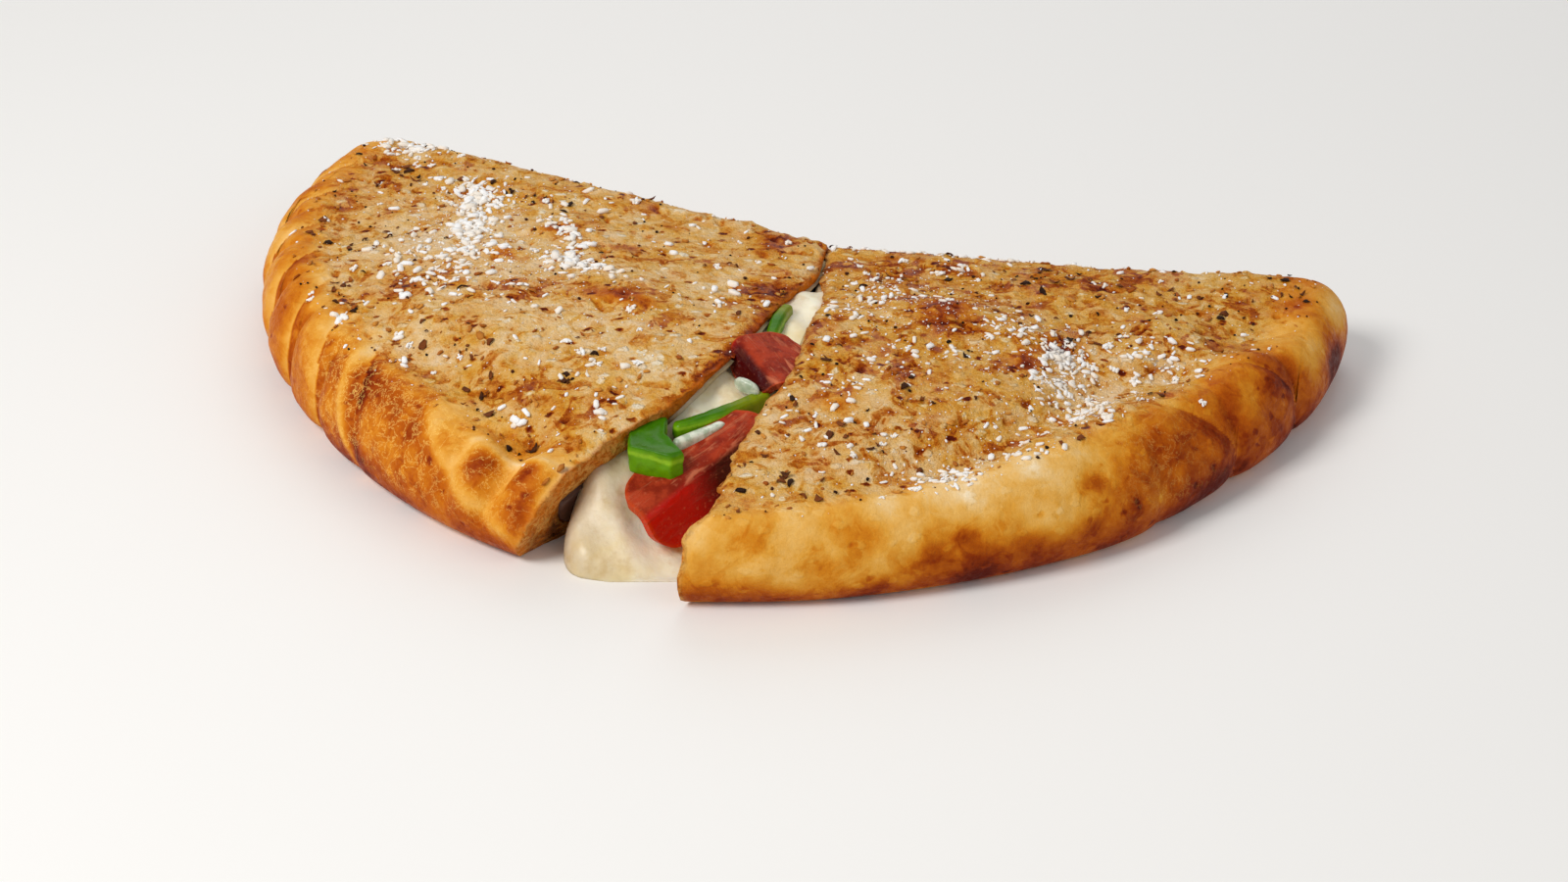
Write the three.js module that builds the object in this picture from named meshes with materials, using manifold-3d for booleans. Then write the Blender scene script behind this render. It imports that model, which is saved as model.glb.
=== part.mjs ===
// A calzone, cut once across and laid open by a wedge: two halves of baked dough
// whose folded edges meet at the back, one run of melted cheese from pocket to pocket,
// and the sausage, pepper and onion that show in the cut. Millimetres, +Z up, the
// middle of the footprint at the origin and the flat underside on Z = 0.
import * as THREE from "three";
import { mergeVertices } from "three/addons/utils/BufferGeometryUtils.js";
import Module from "manifold-3d";

const wasm = await Module();
wasm.setup();

// ---------- driving sizes ----------

const meeting = { x: 11, y: 44 }; // where the two folded edges meet
const footing = { x: -1.25, y: -1 }; // brings the middle of the footprint to the origin
const crustThickness = 4.6; // top crust, seen at the cut
const floorThickness = 4; // bottom crust
const waist = 9; // height at which the outline is widest
const undercut = 7; // how far the rim tucks in below its waist
const foldShoulder = 13; // width of the rounding along the folded edge
const foldWall = 8; // dough between the fold and the filling
const pleatRise = 2.2; // how far a crease dips where the pleat lies on the top
const pleatLength = 14; // how far in from the rim the pleats fade out
const pleatEase = 8; // degrees over which the first and last pleat grow
const valleyInset = 9; // the valley's floor lies this far in from the rim's shoulder
const valleyWidth = 7; // half width
const cutReach = 70; // how far from the cut its bend still shifts the dough
const edgeThinning = 0.5; // share of the top crust that is missing at the cut
const thinningReach = 9; // how far from the cut it has its full thickness
const thickeningReach = 14; // the same for the thicker front of the left half
const clearance = 0.35; // air between pieces that touch
const cutClearance = 1.3; // air along the cut faces, which bend
const fillingProud = 1.8; // filling that stands out of each pocket
const sliver = 0.02; // edges shorter than this are dropped after a cut

const rows = 29; // sections from the cut to the tip
const pocketRows = 6; // the same for the pocket
const topSteps = 24; // steps over the top of a section
const floorSteps = 12; // steps under it

// Each half is a quarter of a round: u runs along the fold from the meeting point,
// v from the fold to the rim. Pairs are [angle from the fold in degrees, millimetres],
// for the cut line [v, u], and a relief is [u, v, half length, half width, turn, height].
const halves = {
  left: {
    foldTurn: 150.5,
    hand: 1,
    radius: [[0, 152], [12, 153.5], [25, 154.5], [40, 153], [60, 151.5], [92, 154.5]],
    shoulder: [[0, 12], [30, 12], [55, 11], [72, 14], [84, 12], [92, 8]],
    cornerRadius: 20,
    rimWall: 13, // solid dough between the rim and the filling
    edgeHeight: 23.5,
    crown: { height: 8.5, v: 85, width: 50, reach: 115 },
    valley: [[0, 0.5], [50, 1], [70, 2.5], [80, 3.5], [90, 1]],
    pleats: { from: 8, to: 70, spacing: 8.5, depth: 3.2, slant: 0.35 },
    cutLine: [[0, 0.2], [15, -5.8], [30, -11.6], [52, -14], [82, -19.7], [104, -19.4],
      [119, -15.5], [134, -10], [149, -6]],
    cutLean: 8,
    frontThickening: 1.2, // share by which the top crust is thicker at the cut's front
    relief: [
      [50, 103, 26, 18, 0, 2.2],
      [9, 143, 5, 9, 0, -4.5],
      [-6, 152, 14, 9, 0, -6],
      [58, 43, 13, 10, 20, 1.5],
      [67, 61, 10, 8, 0, 1.2],
      [25, 71, 16, 12, 0, 1.4],
      [104, 58, 22, 14, 30, -2],
      [84, 22, 20, 9, 0, 1.2],
    ],
    crumbSpots: [[90, 41], [44, 58], [124, 20], [70, 75], [12, 100]],
  },
  right: {
    foldTurn: -9,
    hand: -1,
    radius: [[0, 139], [20, 139.5], [40, 140.5], [53, 145], [62, 146.5], [72, 149.5], [82, 154],
      [90, 157.5], [97, 162]],
    shoulder: [[0, 9], [20, 11], [32, 15], [42, 22], [52, 20], [65, 13], [76, 10], [86, 7],
      [92, 6]],
    cornerRadius: 15,
    rimWall: 17,
    edgeHeight: 22,
    crown: { height: 9.5, v: 82, width: 48, reach: 95 },
    valley: [[0, 0], [20, 1], [35, 3.5], [55, 4], [72, 3.5], [84, 1]],
    pleats: { from: 12, to: 52, spacing: 12, depth: 2, slant: -0.5 },
    cutLine: [[0, 0.2], [16, 0.8], [32, 1.6], [46, 4.4], [72, 3.8], [97, 3], [108, -1], [127, -4.4],
      [148, -7], [156, -11.5]],
    cutLean: -2,
    frontThickening: 0,
    relief: [
      [38, 55, 17, 13, 0, 3],
      [59, 62, 9, 8, 0, 1.5],
      [72, 73, 9, 15, 20, -3.2],
      [90, 77, 15, 8, -40, -2.5],
      [98, 55, 22, 8, 38, 2.6],
      [122, 60, 15, 7, -12, 2.6],
      [68, 29, 18, 13, 0, 1.6],
      [96, 88, 17, 9, -45, 3],
      [116, 16, 18, 14, 0, 2.4],
    ],
    crumbSpots: [[67, 66], [75, 81], [39, 124], [91, 76], [20, 40]],
  },
};

const grains = {
  count: 42, // on each half
  largest: 2.1, // half length
  smallest: 1,
  width: 0.72, // share of the length
  height: 0.62,
  sunk: 0.3, // share of a grain's height below the crust
  nearSpot: 0.6, // share that lies round a spot
  spread: 17, // how far round it
  area: [8, 145], // where the others lie, along and across the fold
  fromEdge: 9,
  fromCut: 6,
  apart: 0.7,
};

// The melted cheese in the gap: [y, left x, right x, top, top beside the left half] from
// the back to the front.
const gapCheese = [
  [12, 6, 14, 19, 19],
  [4, 0, 16, 25, 25.5],
  [-16, -12, 12, 26, 27.5],
  [-30, -22, 10, 25.5, 27],
  [-48, -34, 6, 25.5, 27.6],
  [-60, -42, 0, 22.5, 24.5],
  [-70, -50.5, -4, 17.5, 19.5],
  [-82, -54, -8, 12.5, 13.5],
  [-89, -53.5, -12, 9, 9],
  [-94, -50, -17, 5, 5],
  [-96, -43, -24, 0.8, 0.8],
];

// It stands higher where it clings to the left half, and sinks under the large slice:
// [x, y, half width, height].
const cheeseLobes = [[-45, -76, 8, 3], [-23, -84, 13, -9]];

// A slice of sausage bent along a crease. "along" is the crease, "upper" and "lower"
// run in the slice away from it, and "middle" and "reach" are the round's centre and
// half lengths along and across the crease.
const slices = {
  pepperoni_front: {
    crease: [-35.3, -89, 13.6],
    along: [0.705, 0.664, 0.254],
    upper: [-0.68, 0.733, 0],
    lower: [0.32, 0.02, -0.947],
    middle: [20, -1],
    reach: [20.5, 14],
    thickness: 2.5,
    bend: 2.5,
  },
  pepperoni_back: {
    crease: [-12.35, -38.8, 32.3],
    along: [0.52, -0.815, -0.248],
    upper: [0.799, 0.568, -0.194],
    lower: [-0.531, -0.083, -0.843],
    middle: [7.5, 4],
    reach: [9.6, 11],
    thickness: 2.2,
    bend: 1.6,
  },
};

// Strips cut from a pepper or an onion ring: points along the middle, height, thickness.
const strips = {
  pepper_strip: {
    path: [[-28.6, -64.8, 22.6], [-17.5, -59.3, 23], [-5.6, -50.8, 24.4]],
    height: 5.6,
    thickness: 3.8,
  },
  pepper_back_strip: {
    path: [[-5.6, -27.5, 25.6], [-3.6, -18, 26.6], [-0.6, -9.5, 26.4]],
    height: 5.4,
    thickness: 3.4,
  },
  onion_front: {
    path: [[-28.6, -70, 21.4], [-22.8, -67.2, 22], [-16, -62.6, 23]],
    height: 4.2,
    thickness: 2.8,
  },
  onion_back: {
    path: [[-14, -49, 27.6], [-11, -51.2, 27.4], [-8, -53, 26.8]],
    height: 3.6,
    thickness: 2,
  },
};

// The thick piece of pepper, seen from above.
const chunk = {
  outline: [[-38.8, -76], [-39, -68], [-35, -63.5], [-29.8, -63.4], [-30, -71],
    [-25.4, -78.4], [-28.6, -80.4]],
  floor: 18.8,
  top: 26.5,
  edge: 1.2,
  tilt: 0.08, // the top falls to the front
};

const sliceSquareness = 0.7; // 1 is a true ellipse
const sliceProfile = [[0.35, 1], [0.7, 1], [0.92, 1], [1, 0.45], [1, -0.45], [0.92, -1],
  [0.7, -1], [0.35, -1]]; // [share of the reach, side]
const sliceCorners = 18;
const stripSquareness = 0.6;
const stripEnds = 0.82; // size of a strip's ends next to its middle
const stripSteps = 8;
const stripCorners = 10;
const moundSteps = 12;
const moundStations = 16;
const moundPowers = [7, 4]; // how square its sections are on the left and on the right
const moundRipple = 0.5;

// ---------- formulas ----------

function smooth(from, to, x) {
  const s = Math.min(1, Math.max(0, (x - from) / (to - from)));
  return s * s * (3 - 2 * s);
}

// A quarter circle that rises from 0 to 1.
function roundOff(x) {
  const s = 1 - Math.min(1, Math.max(0, x));
  return Math.sqrt(1 - s * s);
}

// Squares off a circle: the sine or cosine raised to a power under 1, its sign kept.
const squared = (x, power) => Math.sign(x) * Math.abs(x) ** power;

// A cubic through [x, y] points, level beyond the ends.
function curveThrough(points, x) {
  const last = points.length - 1;
  if (x <= points[0][0]) return points[0][1];
  if (x >= points[last][0]) return points[last][1];
  let i = 0;
  while (points[i + 1][0] < x) i += 1;
  const slopeAt = (k) => {
    const before = points[Math.max(0, k - 1)];
    const after = points[Math.min(last, k + 1)];
    return (after[1] - before[1]) / (after[0] - before[0]);
  };
  const [x0, y0] = points[i];
  const [x1, y1] = points[i + 1];
  const step = x1 - x0;
  const s = (x - x0) / step;
  const rise = y1 - y0;
  const m0 = slopeAt(i) * step;
  const m1 = slopeAt(i + 1) * step;
  return y0 + m0 * s + (3 * rise - 2 * m0 - m1) * s ** 2 + (m0 + m1 - 2 * rise) * s ** 3;
}

function seededRandom(seed) {
  let state = seed;
  return () => {
    state = (state + 0x6d2b79f5) | 0;
    let t = Math.imul(state ^ (state >>> 15), 1 | state);
    t = (t + Math.imul(t ^ (t >>> 7), 61 | t)) ^ t;
    return ((t ^ (t >>> 14)) >>> 0) / 4294967296;
  };
}

// ---------- the halves of dough ----------

const angleFromFold = (u, v) => THREE.MathUtils.radToDeg(Math.atan2(v, u));

// 1 along each crease between two pleats and 0 on their backs.
function crease(half, angle, fromRim) {
  const { from, to, spacing, slant } = half.pleats;
  const window = smooth(from, from + pleatEase, angle) * (1 - smooth(to - pleatEase, to, angle));
  const wave = Math.sin((Math.PI * (angle + slant * fromRim)) / spacing);
  return window * (1 - Math.abs(wave)) ** 2;
}

function rimRadius(half, u, v) {
  const angle = angleFromFold(u, v);
  return curveThrough(half.radius, angle) - half.pleats.depth * crease(half, angle, 0);
}

// Height of the top crust over its inner part: a level edge, a crown over the filling,
// a valley just inside the rim, the pleats' ends, and rounded reliefs.
function crustHeight(half, u, v) {
  const angle = angleFromFold(u, v);
  const fromRim = curveThrough(half.radius, angle) - Math.hypot(u, v);
  const { crown } = half;
  const across = Math.exp(-(((v - crown.v) / crown.width) ** 2));
  const along = Math.exp(-((Math.max(0, u) / crown.reach) ** 2));
  let z = half.edgeHeight + crown.height * across * along;
  const fromValley = fromRim - curveThrough(half.shoulder, angle) - valleyInset;
  z -= curveThrough(half.valley, angle) * Math.exp(-((fromValley / valleyWidth) ** 2));
  z -= pleatRise * crease(half, angle, fromRim) * Math.exp(-((fromRim / pleatLength) ** 2));
  for (const [ru, rv, length, width, turn, height] of half.relief) {
    const a = THREE.MathUtils.degToRad(turn);
    const du = (u - ru) * Math.cos(a) + (v - rv) * Math.sin(a);
    const dv = (v - rv) * Math.cos(a) - (u - ru) * Math.sin(a);
    z += height * Math.exp(-((du / length) ** 2) - (dv / width) ** 2);
  }
  return z;
}

// A skin is the outside of the dough, or the wall of its pocket, or a copy of either
// moved by a gap. It is set in from the fold and from the rim.
const outside = (grow) => ({
  fold: -grow,
  rim: -grow,
  corner: null,
  waist,
  lift: grow,
  floor: -grow,
  shoulder: null,
  undercut,
});

const pocket = (half, shrink) => ({
  fold: foldWall + shrink,
  rim: half.rimWall + shrink,
  corner: 12,
  waist: 13,
  lift: -crustThickness - shrink,
  floor: floorThickness + shrink,
  shoulder: 9,
  undercut: 6,
});

// Distance in from the skin's outline, with the tip's corner rounded.
function inside(half, skin, u, v) {
  const a = v - skin.fold;
  const b = rimRadius(half, u, v) - Math.hypot(u, v) - skin.rim;
  const c = skin.corner ?? half.cornerRadius;
  if (a < c && b < c) return c - Math.hypot(c - a, c - b);
  return Math.min(a, b);
}

function bisect(low, high, isInside) {
  let [out, inn] = [low, high];
  for (let i = 0; i < 30; i += 1) {
    const mid = (out + inn) / 2;
    if (isInside(mid)) inn = mid;
    else out = mid;
  }
  return (out + inn) / 2;
}

// The deepest point across a section, and the two ends where the outline crosses it.
function span(half, skin, u) {
  let deepest = [-Infinity, 0];
  for (let v = 0; v <= 160; v += 0.5) {
    const d = inside(half, skin, u, v);
    if (d > deepest[0]) deepest = [d, v];
  }
  const [depth, middle] = deepest;
  if (depth <= 0) return [middle, middle];
  const isInside = (v) => inside(half, skin, u, v) > 0;
  return [bisect(-5, middle, isInside), bisect(170, middle, isInside)];
}

function tipOf(half, skin) {
  const reachesInside = (u) => {
    const [v0, v1] = span(half, skin, u);
    return v1 > v0;
  };
  return bisect(165, 60, reachesInside);
}

function place(half, u, v, z) {
  const turn = THREE.MathUtils.degToRad(half.foldTurn);
  const cos = Math.cos(turn);
  const sin = Math.sin(turn);
  const side = half.hand * v;
  return [meeting.x + u * cos - side * sin, meeting.y + u * sin + side * cos, z];
}

// A point of a skin, over (upper) or under its waist. Near the cut the dough is
// shifted along the fold, so that the cut follows its own line and leans.
function skinPoint(half, skin, u, v, upper) {
  const d = inside(half, skin, u, v);
  const fall = Math.max(0, 1 - u / cutReach) ** 1.5;
  const shifted = u + curveThrough(half.cutLine, v) * fall;
  const thinning = edgeThinning * Math.exp(-((u / thinningReach) ** 2)) * (1 - smooth(95, 110, v));
  const thickening = half.frontThickening * Math.exp(-((u / thickeningReach) ** 2))
    * smooth(104, 126, v);
  const crustTop = crustHeight(half, shifted, v);
  const top = crustTop + skin.lift * (1 - thinning + thickening);
  const fromFold = v - skin.fold;
  const fromRim = rimRadius(half, u, v) - Math.hypot(u, v) - skin.rim;
  const nearRim = smooth(0.3, 0.7, fromFold / (Math.max(0, fromFold) + Math.max(0, fromRim) + 0.01));
  const rimShoulder = curveThrough(half.shoulder, angleFromFold(u, v));
  const shoulder = skin.shoulder ?? foldShoulder + (rimShoulder - foldShoulder) * nearRim;
  const z = upper
    ? skin.waist + (top - skin.waist) * roundOff(d / shoulder)
    : skin.waist - (skin.waist - skin.floor) * roundOff(d / skin.undercut);
  const lean = half.cutLean * smooth(30, 80, v) * (1 - z / crustTop) * fall;
  return place(half, shifted + lean, v, z);
}

// One closed section: over the top from the rim to the fold and back underneath.
function ring(half, skin, u) {
  const [v0, v1] = span(half, skin, u);
  const points = [];
  for (let i = 0; i < topSteps + floorSteps; i += 1) {
    const upper = i < topSteps;
    const angle = upper ? i / topSteps : 1 + (i - topSteps) / floorSteps;
    const v = (v0 + v1) / 2 + ((v1 - v0) / 2) * Math.cos(Math.PI * angle);
    points.push(skinPoint(half, skin, u, v, upper || i === topSteps));
  }
  return points;
}

// Rings from the start to just before the tip, closer together towards it, and the tip.
function rings(half, skin, count, start) {
  const tip = tipOf(half, skin);
  const list = [];
  for (let i = 0; i < count; i += 1) {
    list.push(ring(half, skin, start + (tip - start) * Math.sin((Math.PI / 2) * (i / count))));
  }
  const [v0, v1] = span(half, skin, tip);
  list.push([skinPoint(half, skin, tip, (v0 + v1) / 2, false)]);
  return list;
}

// ---------- meshes ----------

// Joins consecutive rings of equal length; a ring of one point is a pole.
function skinOver(list) {
  const positions = list.flat().flat();
  const faces = [];
  let base = 0;
  for (let k = 0; k + 1 < list.length; k += 1) {
    const a = list[k].length;
    const b = list[k + 1].length;
    const next = base + a;
    for (let i = 0; i < Math.max(a, b); i += 1) {
      const j = (i + 1) % Math.max(a, b);
      if (a > 1) faces.push(base + i, base + j, next + (b > 1 ? j : 0));
      if (b > 1) faces.push(base + (a > 1 ? i : 0), next + j, next + i);
    }
    base = next;
  }
  return { positions, faces };
}

// Closes the first ring by a strip between its upper and its lower run.
function closeCut(faces) {
  const count = topSteps + floorSteps;
  let upper = 0;
  let lower = 0;
  const lowerIndex = (k) => (count - k) % count;
  while (upper < topSteps || lower < floorSteps) {
    const upperNext = (upper + 1) / topSteps;
    const lowerNext = (lower + 1) / floorSteps;
    if (upper < topSteps && (lower === floorSteps || upperNext <= lowerNext)) {
      faces.push(lowerIndex(lower), upper + 1, upper);
      upper += 1;
    } else {
      faces.push(lowerIndex(lower), lowerIndex(lower + 1), upper);
      lower += 1;
    }
  }
}

const isFace = (a, b, c) => a !== b && b !== c && a !== c;

// A solid from positions and triangles, turned so that its faces point outwards.
function solidOf(positions, faces) {
  const kept = [];
  for (let i = 0; i < faces.length; i += 3) {
    const [a, b, c] = faces.slice(i, i + 3);
    if (isFace(a, b, c)) kept.push(a, b, c);
  }
  const corner = (i) => new THREE.Vector3(...positions.slice(3 * i, 3 * i + 3));
  let volume = 0;
  for (let i = 0; i < kept.length; i += 3) {
    const [a, b, c] = kept.slice(i, i + 3).map(corner);
    volume += a.dot(b.cross(c));
  }
  if (volume < 0) {
    for (let i = 0; i < kept.length; i += 3) [kept[i], kept[i + 1]] = [kept[i + 1], kept[i]];
  }
  return new wasm.Manifold(new wasm.Mesh({
    numProp: 3,
    vertProperties: Float32Array.from(positions),
    triVerts: Uint32Array.from(kept),
  }));
}

function solidOfGeometry(geometry) {
  const bare = geometry.clone();
  bare.deleteAttribute("normal");
  bare.deleteAttribute("uv");
  const merged = mergeVertices(bare, 1e-4);
  return solidOf(Array.from(merged.attributes.position.array), Array.from(merged.index.array));
}

function geometryOf(solid) {
  const mesh = solid.getMesh();
  const geometry = new THREE.BufferGeometry();
  geometry.setAttribute("position", new THREE.BufferAttribute(mesh.vertProperties, 3));
  geometry.setIndex(new THREE.BufferAttribute(mesh.triVerts, 1));
  geometry.computeVertexNormals();
  return geometry;
}

// The largest of the pieces that a cut leaves, without the slivers along its edges.
function largestOf(solid) {
  const pieces = solid.simplify(sliver).decompose();
  return pieces.reduce((best, piece) => (piece.volume() > best.volume() ? piece : best));
}

// ---------- crust ----------

// The dough with its pocket: outer skin from the tip to the cut, the cut face, and the
// pocket's wall from the cut to its own tip.
function hollowDough(half) {
  const outer = rings(half, outside(0), rows, 0).reverse();
  const inner = rings(half, pocket(half, 0), pocketRows, 0);
  const { positions, faces } = skinOver([...outer, ...inner]);
  return solidOf(positions, faces);
}

// A half without its pocket, or the filling of a pocket, closed at the cut.
function closedHalf(half, skin, count, start) {
  const { positions, faces } = skinOver(rings(half, skin, count, start));
  closeCut(faces);
  return solidOf(positions, faces);
}

// Flattened crumbs of cheese and herb on the top crust, the largest first, most of them
// round a few spots, and none touching another.
function scatterGrains(half, seed) {
  const random = seededRandom(seed);
  const between = (low, high) => low + (high - low) * random();
  const placed = [];
  for (let tries = 0; placed.length < grains.count && tries < 4000; tries += 1) {
    const share = placed.length / grains.count;
    const size = grains.largest + (grains.smallest - grains.largest) * share;
    let u = between(...grains.area);
    let v = between(...grains.area);
    if (random() < grains.nearSpot) {
      const spot = half.crumbSpots[Math.floor(random() * half.crumbSpots.length)];
      u = spot[0] + grains.spread * between(-1, 1);
      v = spot[1] + grains.spread * between(-1, 1);
    }
    const turn = between(0, Math.PI);
    const clear = placed.every((p) => Math.hypot(p.u - u, p.v - v) > p.size + size + grains.apart);
    if (u > grains.fromCut && inside(half, outside(0), u, v) > grains.fromEdge && clear) {
      placed.push({ u, v, size, turn });
    }
  }
  return placed.map(({ u, v, size, turn }) => {
    const tall = size * grains.height;
    const shape = new THREE.IcosahedronGeometry(1, 0);
    shape.scale(size, size * grains.width, tall);
    shape.rotateZ(turn);
    const [x, y, z] = skinPoint(half, outside(0), u, v, true);
    shape.translate(x, y, z + tall * (1 - 2 * grains.sunk));
    return solidOfGeometry(shape);
  });
}

function crust(half, seed) {
  return wasm.Manifold.union([hollowDough(half), ...scatterGrains(half, seed)]);
}

// ---------- filling ----------

// A point of a bent slice: p runs along the crease from its start, q across it.
function bentPoint(slice, p, q, offset) {
  const along = new THREE.Vector3(...slice.along);
  const upper = new THREE.Vector3(...slice.upper);
  const lower = new THREE.Vector3(...slice.lower);
  const reach = Math.hypot(q, slice.bend);
  const share = (1 + q / reach) / 2;
  const across = upper.clone().multiplyScalar(share).addScaledVector(lower, share - 1);
  const normal = along.clone().cross(across).normalize();
  return new THREE.Vector3(...slice.crease)
    .addScaledVector(along, p)
    .addScaledVector(upper, (reach + q - slice.bend) / 2)
    .addScaledVector(lower, (reach - q - slice.bend) / 2)
    .addScaledVector(normal, offset);
}

// A round slice as rings about its middle, over the top and back underneath.
function bentSlice(slice, grow) {
  const [reachP, reachQ] = slice.reach.map((r) => r + grow);
  const half = slice.thickness / 2 + grow;
  const [middleP, middleQ] = slice.middle;
  const centre = (side) => [bentPoint(slice, middleP, middleQ, half * side).toArray()];
  const list = [centre(1)];
  for (const [reach, side] of sliceProfile) {
    const points = [];
    for (let i = 0; i < sliceCorners; i += 1) {
      const a = (2 * Math.PI * i) / sliceCorners;
      const p = middleP + reachP * reach * squared(Math.cos(a), sliceSquareness);
      const q = middleQ + reachQ * reach * squared(Math.sin(a), sliceSquareness);
      points.push(bentPoint(slice, p, q, half * side).toArray());
    }
    list.push(points);
  }
  list.push(centre(-1));
  const { positions, faces } = skinOver(list);
  return solidOf(positions, faces);
}

// A strip with a rounded section carried along a curve, standing on its edge.
function bentStrip(strip, grow) {
  const curve = new THREE.CatmullRomCurve3(strip.path.map((p) => new THREE.Vector3(...p)));
  const list = [];
  for (let k = 0; k <= stripSteps; k += 1) {
    const s = k / stripSteps;
    const taper = stripEnds + (1 - stripEnds) * Math.sin(Math.PI * s);
    const tangent = curve.getTangent(s);
    const across = new THREE.Vector3(-tangent.y, tangent.x, 0).normalize();
    const up = new THREE.Vector3(0, 0, 1);
    const end = k === 0 ? -grow : k === stripSteps ? grow : 0;
    const centre = curve.getPoint(s).addScaledVector(tangent, end);
    const points = [];
    for (let i = 0; i < stripCorners; i += 1) {
      const a = (2 * Math.PI * i) / stripCorners;
      const wide = squared(Math.cos(a), stripSquareness);
      const tall = squared(Math.sin(a), stripSquareness);
      const point = centre
        .clone()
        .addScaledVector(across, wide * ((strip.thickness / 2) * taper + grow))
        .addScaledVector(up, tall * ((strip.height / 2) * taper + grow));
      points.push(point.toArray());
    }
    if (k === 0) list.push([centre.toArray()]);
    list.push(points);
    if (k === stripSteps) list.push([centre.toArray()]);
  }
  const { positions, faces } = skinOver(list);
  return solidOf(positions, faces);
}

// The thick piece of pepper: its outline with a nick, drawn up and softly edged.
function pepperChunk(grow) {
  const { edge } = chunk;
  const shape = new THREE.Shape(chunk.outline.map(([x, y]) => new THREE.Vector2(x, y)));
  const geometry = new THREE.ExtrudeGeometry(shape, {
    depth: chunk.top - chunk.floor - 2 * edge,
    bevelSize: edge + grow,
    bevelOffset: -edge,
    bevelThickness: edge + grow,
    bevelSegments: 2,
    steps: 1,
  });
  geometry.translate(0, 0, chunk.floor + edge);
  const corners = geometry.attributes.position;
  const backY = chunk.outline[2][1];
  for (let i = 0; i < corners.count; i += 1) {
    corners.setZ(i, corners.getZ(i) - chunk.tilt * (backY - corners.getY(i)));
  }
  return solidOfGeometry(geometry);
}

// The cheese in the gap: sections across it, level below and rounded above, squarer and
// higher beside the left half.
function gapMound() {
  const list = [];
  const first = gapCheese[0][0];
  const last = gapCheese[gapCheese.length - 1][0];
  const column = (k) => gapCheese.map((row) => [-row[0], row[k]]);
  for (let i = 0; i <= moundStations; i += 1) {
    const y = first + (last - first) * Math.sin((Math.PI / 2) * (i / moundStations));
    const left = curveThrough(column(1), -y);
    const right = curveThrough(column(2), -y);
    const top = curveThrough(column(3), -y);
    const leftTop = curveThrough(column(4), -y);
    const points = [];
    for (let k = 0; k < 2 * moundSteps; k += 1) {
      const s = Math.cos((Math.PI * k) / moundSteps);
      const x = (left + right) / 2 + ((right - left) / 2) * s;
      const ripple = moundRipple * Math.sin(x * 0.55 + y * 0.3) * smooth(0, 8, top);
      const lobes = cheeseLobes.reduce((sum, [lobeX, lobeY, width, height]) => (
        sum + height * Math.exp(-(((x - lobeX) / width) ** 2) - ((y - lobeY) / width) ** 2)
      ), 0);
      const bank = (leftTop - top) * smooth(0.2, -0.8, s);
      const power = moundPowers[s < 0 ? 0 : 1];
      const z = Math.max(0.4, top + bank + ripple + lobes)
        * Math.sqrt(Math.max(0, 1 - Math.abs(s) ** power));
      points.push([x, y, k < moundSteps ? z : 0]);
    }
    if (i === 0) list.push([[(left + right) / 2, y, 0]]);
    list.push(points);
    if (i === moundStations) list.push([[(left + right) / 2, y, 0]]);
  }
  const { positions, faces } = skinOver(list);
  return solidOf(positions, faces);
}

// ---------- the whole ----------

const doughs = Object.values(halves);
const pressed = doughs.map((half) => closedHalf(half, outside(clearance), rows, -cutClearance));
const fillings = doughs.map((half, i) => (
  closedHalf(half, pocket(half, clearance), pocketRows, -fillingProud).subtract(pressed[1 - i])
));

const makers = {
  pepperoni_front: (grow) => bentSlice(slices.pepperoni_front, grow),
  pepper_chunk: (grow) => pepperChunk(grow),
  pepper_strip: (grow) => bentStrip(strips.pepper_strip, grow),
  pepperoni_back: (grow) => bentSlice(slices.pepperoni_back, grow),
  pepper_back_strip: (grow) => bentStrip(strips.pepper_back_strip, grow),
  onion_front: (grow) => bentStrip(strips.onion_front, grow),
  onion_back: (grow) => bentStrip(strips.onion_back, grow),
};

// Each piece of filling gives way to the dough and to the pieces made before it.
const filling = {};
let taken = wasm.Manifold.union(pressed);
for (const [name, make] of Object.entries(makers)) {
  filling[name] = largestOf(make(0).subtract(taken));
  taken = taken.add(make(clearance));
}
const cheese = largestOf(gapMound().subtract(taken).add(
  wasm.Manifold.union(fillings).subtract(wasm.Manifold.union(
    Object.values(makers).map((make) => make(clearance)),
  )),
));

const calzone = new THREE.Group();
calzone.position.set(footing.x, footing.y, 0);

function addPiece(name, solid, colour, roughness) {
  const material = new THREE.MeshStandardMaterial({ color: colour, roughness, metalness: 0 });
  const mesh = new THREE.Mesh(geometryOf(solid), material);
  mesh.name = name;
  calzone.add(mesh);
}

const baked = 0xd9a05f;
const meltedCheese = 0xeee0c4;
const sausage = 0xa83222;
const greenPepper = 0x4f9a24;
const onion = 0xdcdccb;

addPiece("crust_left", crust(halves.left, 7), baked, 0.6);
addPiece("crust_right", crust(halves.right, 23), baked, 0.6);
addPiece("cheese", cheese, meltedCheese, 0.4);
for (const [name, solid] of Object.entries(filling)) {
  const colour = { pepperoni: sausage, pepper: greenPepper, onion }[name.split("_")[0]];
  addPiece(name, solid, colour, 0.35);
}

export default calzone;
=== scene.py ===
import math

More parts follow.
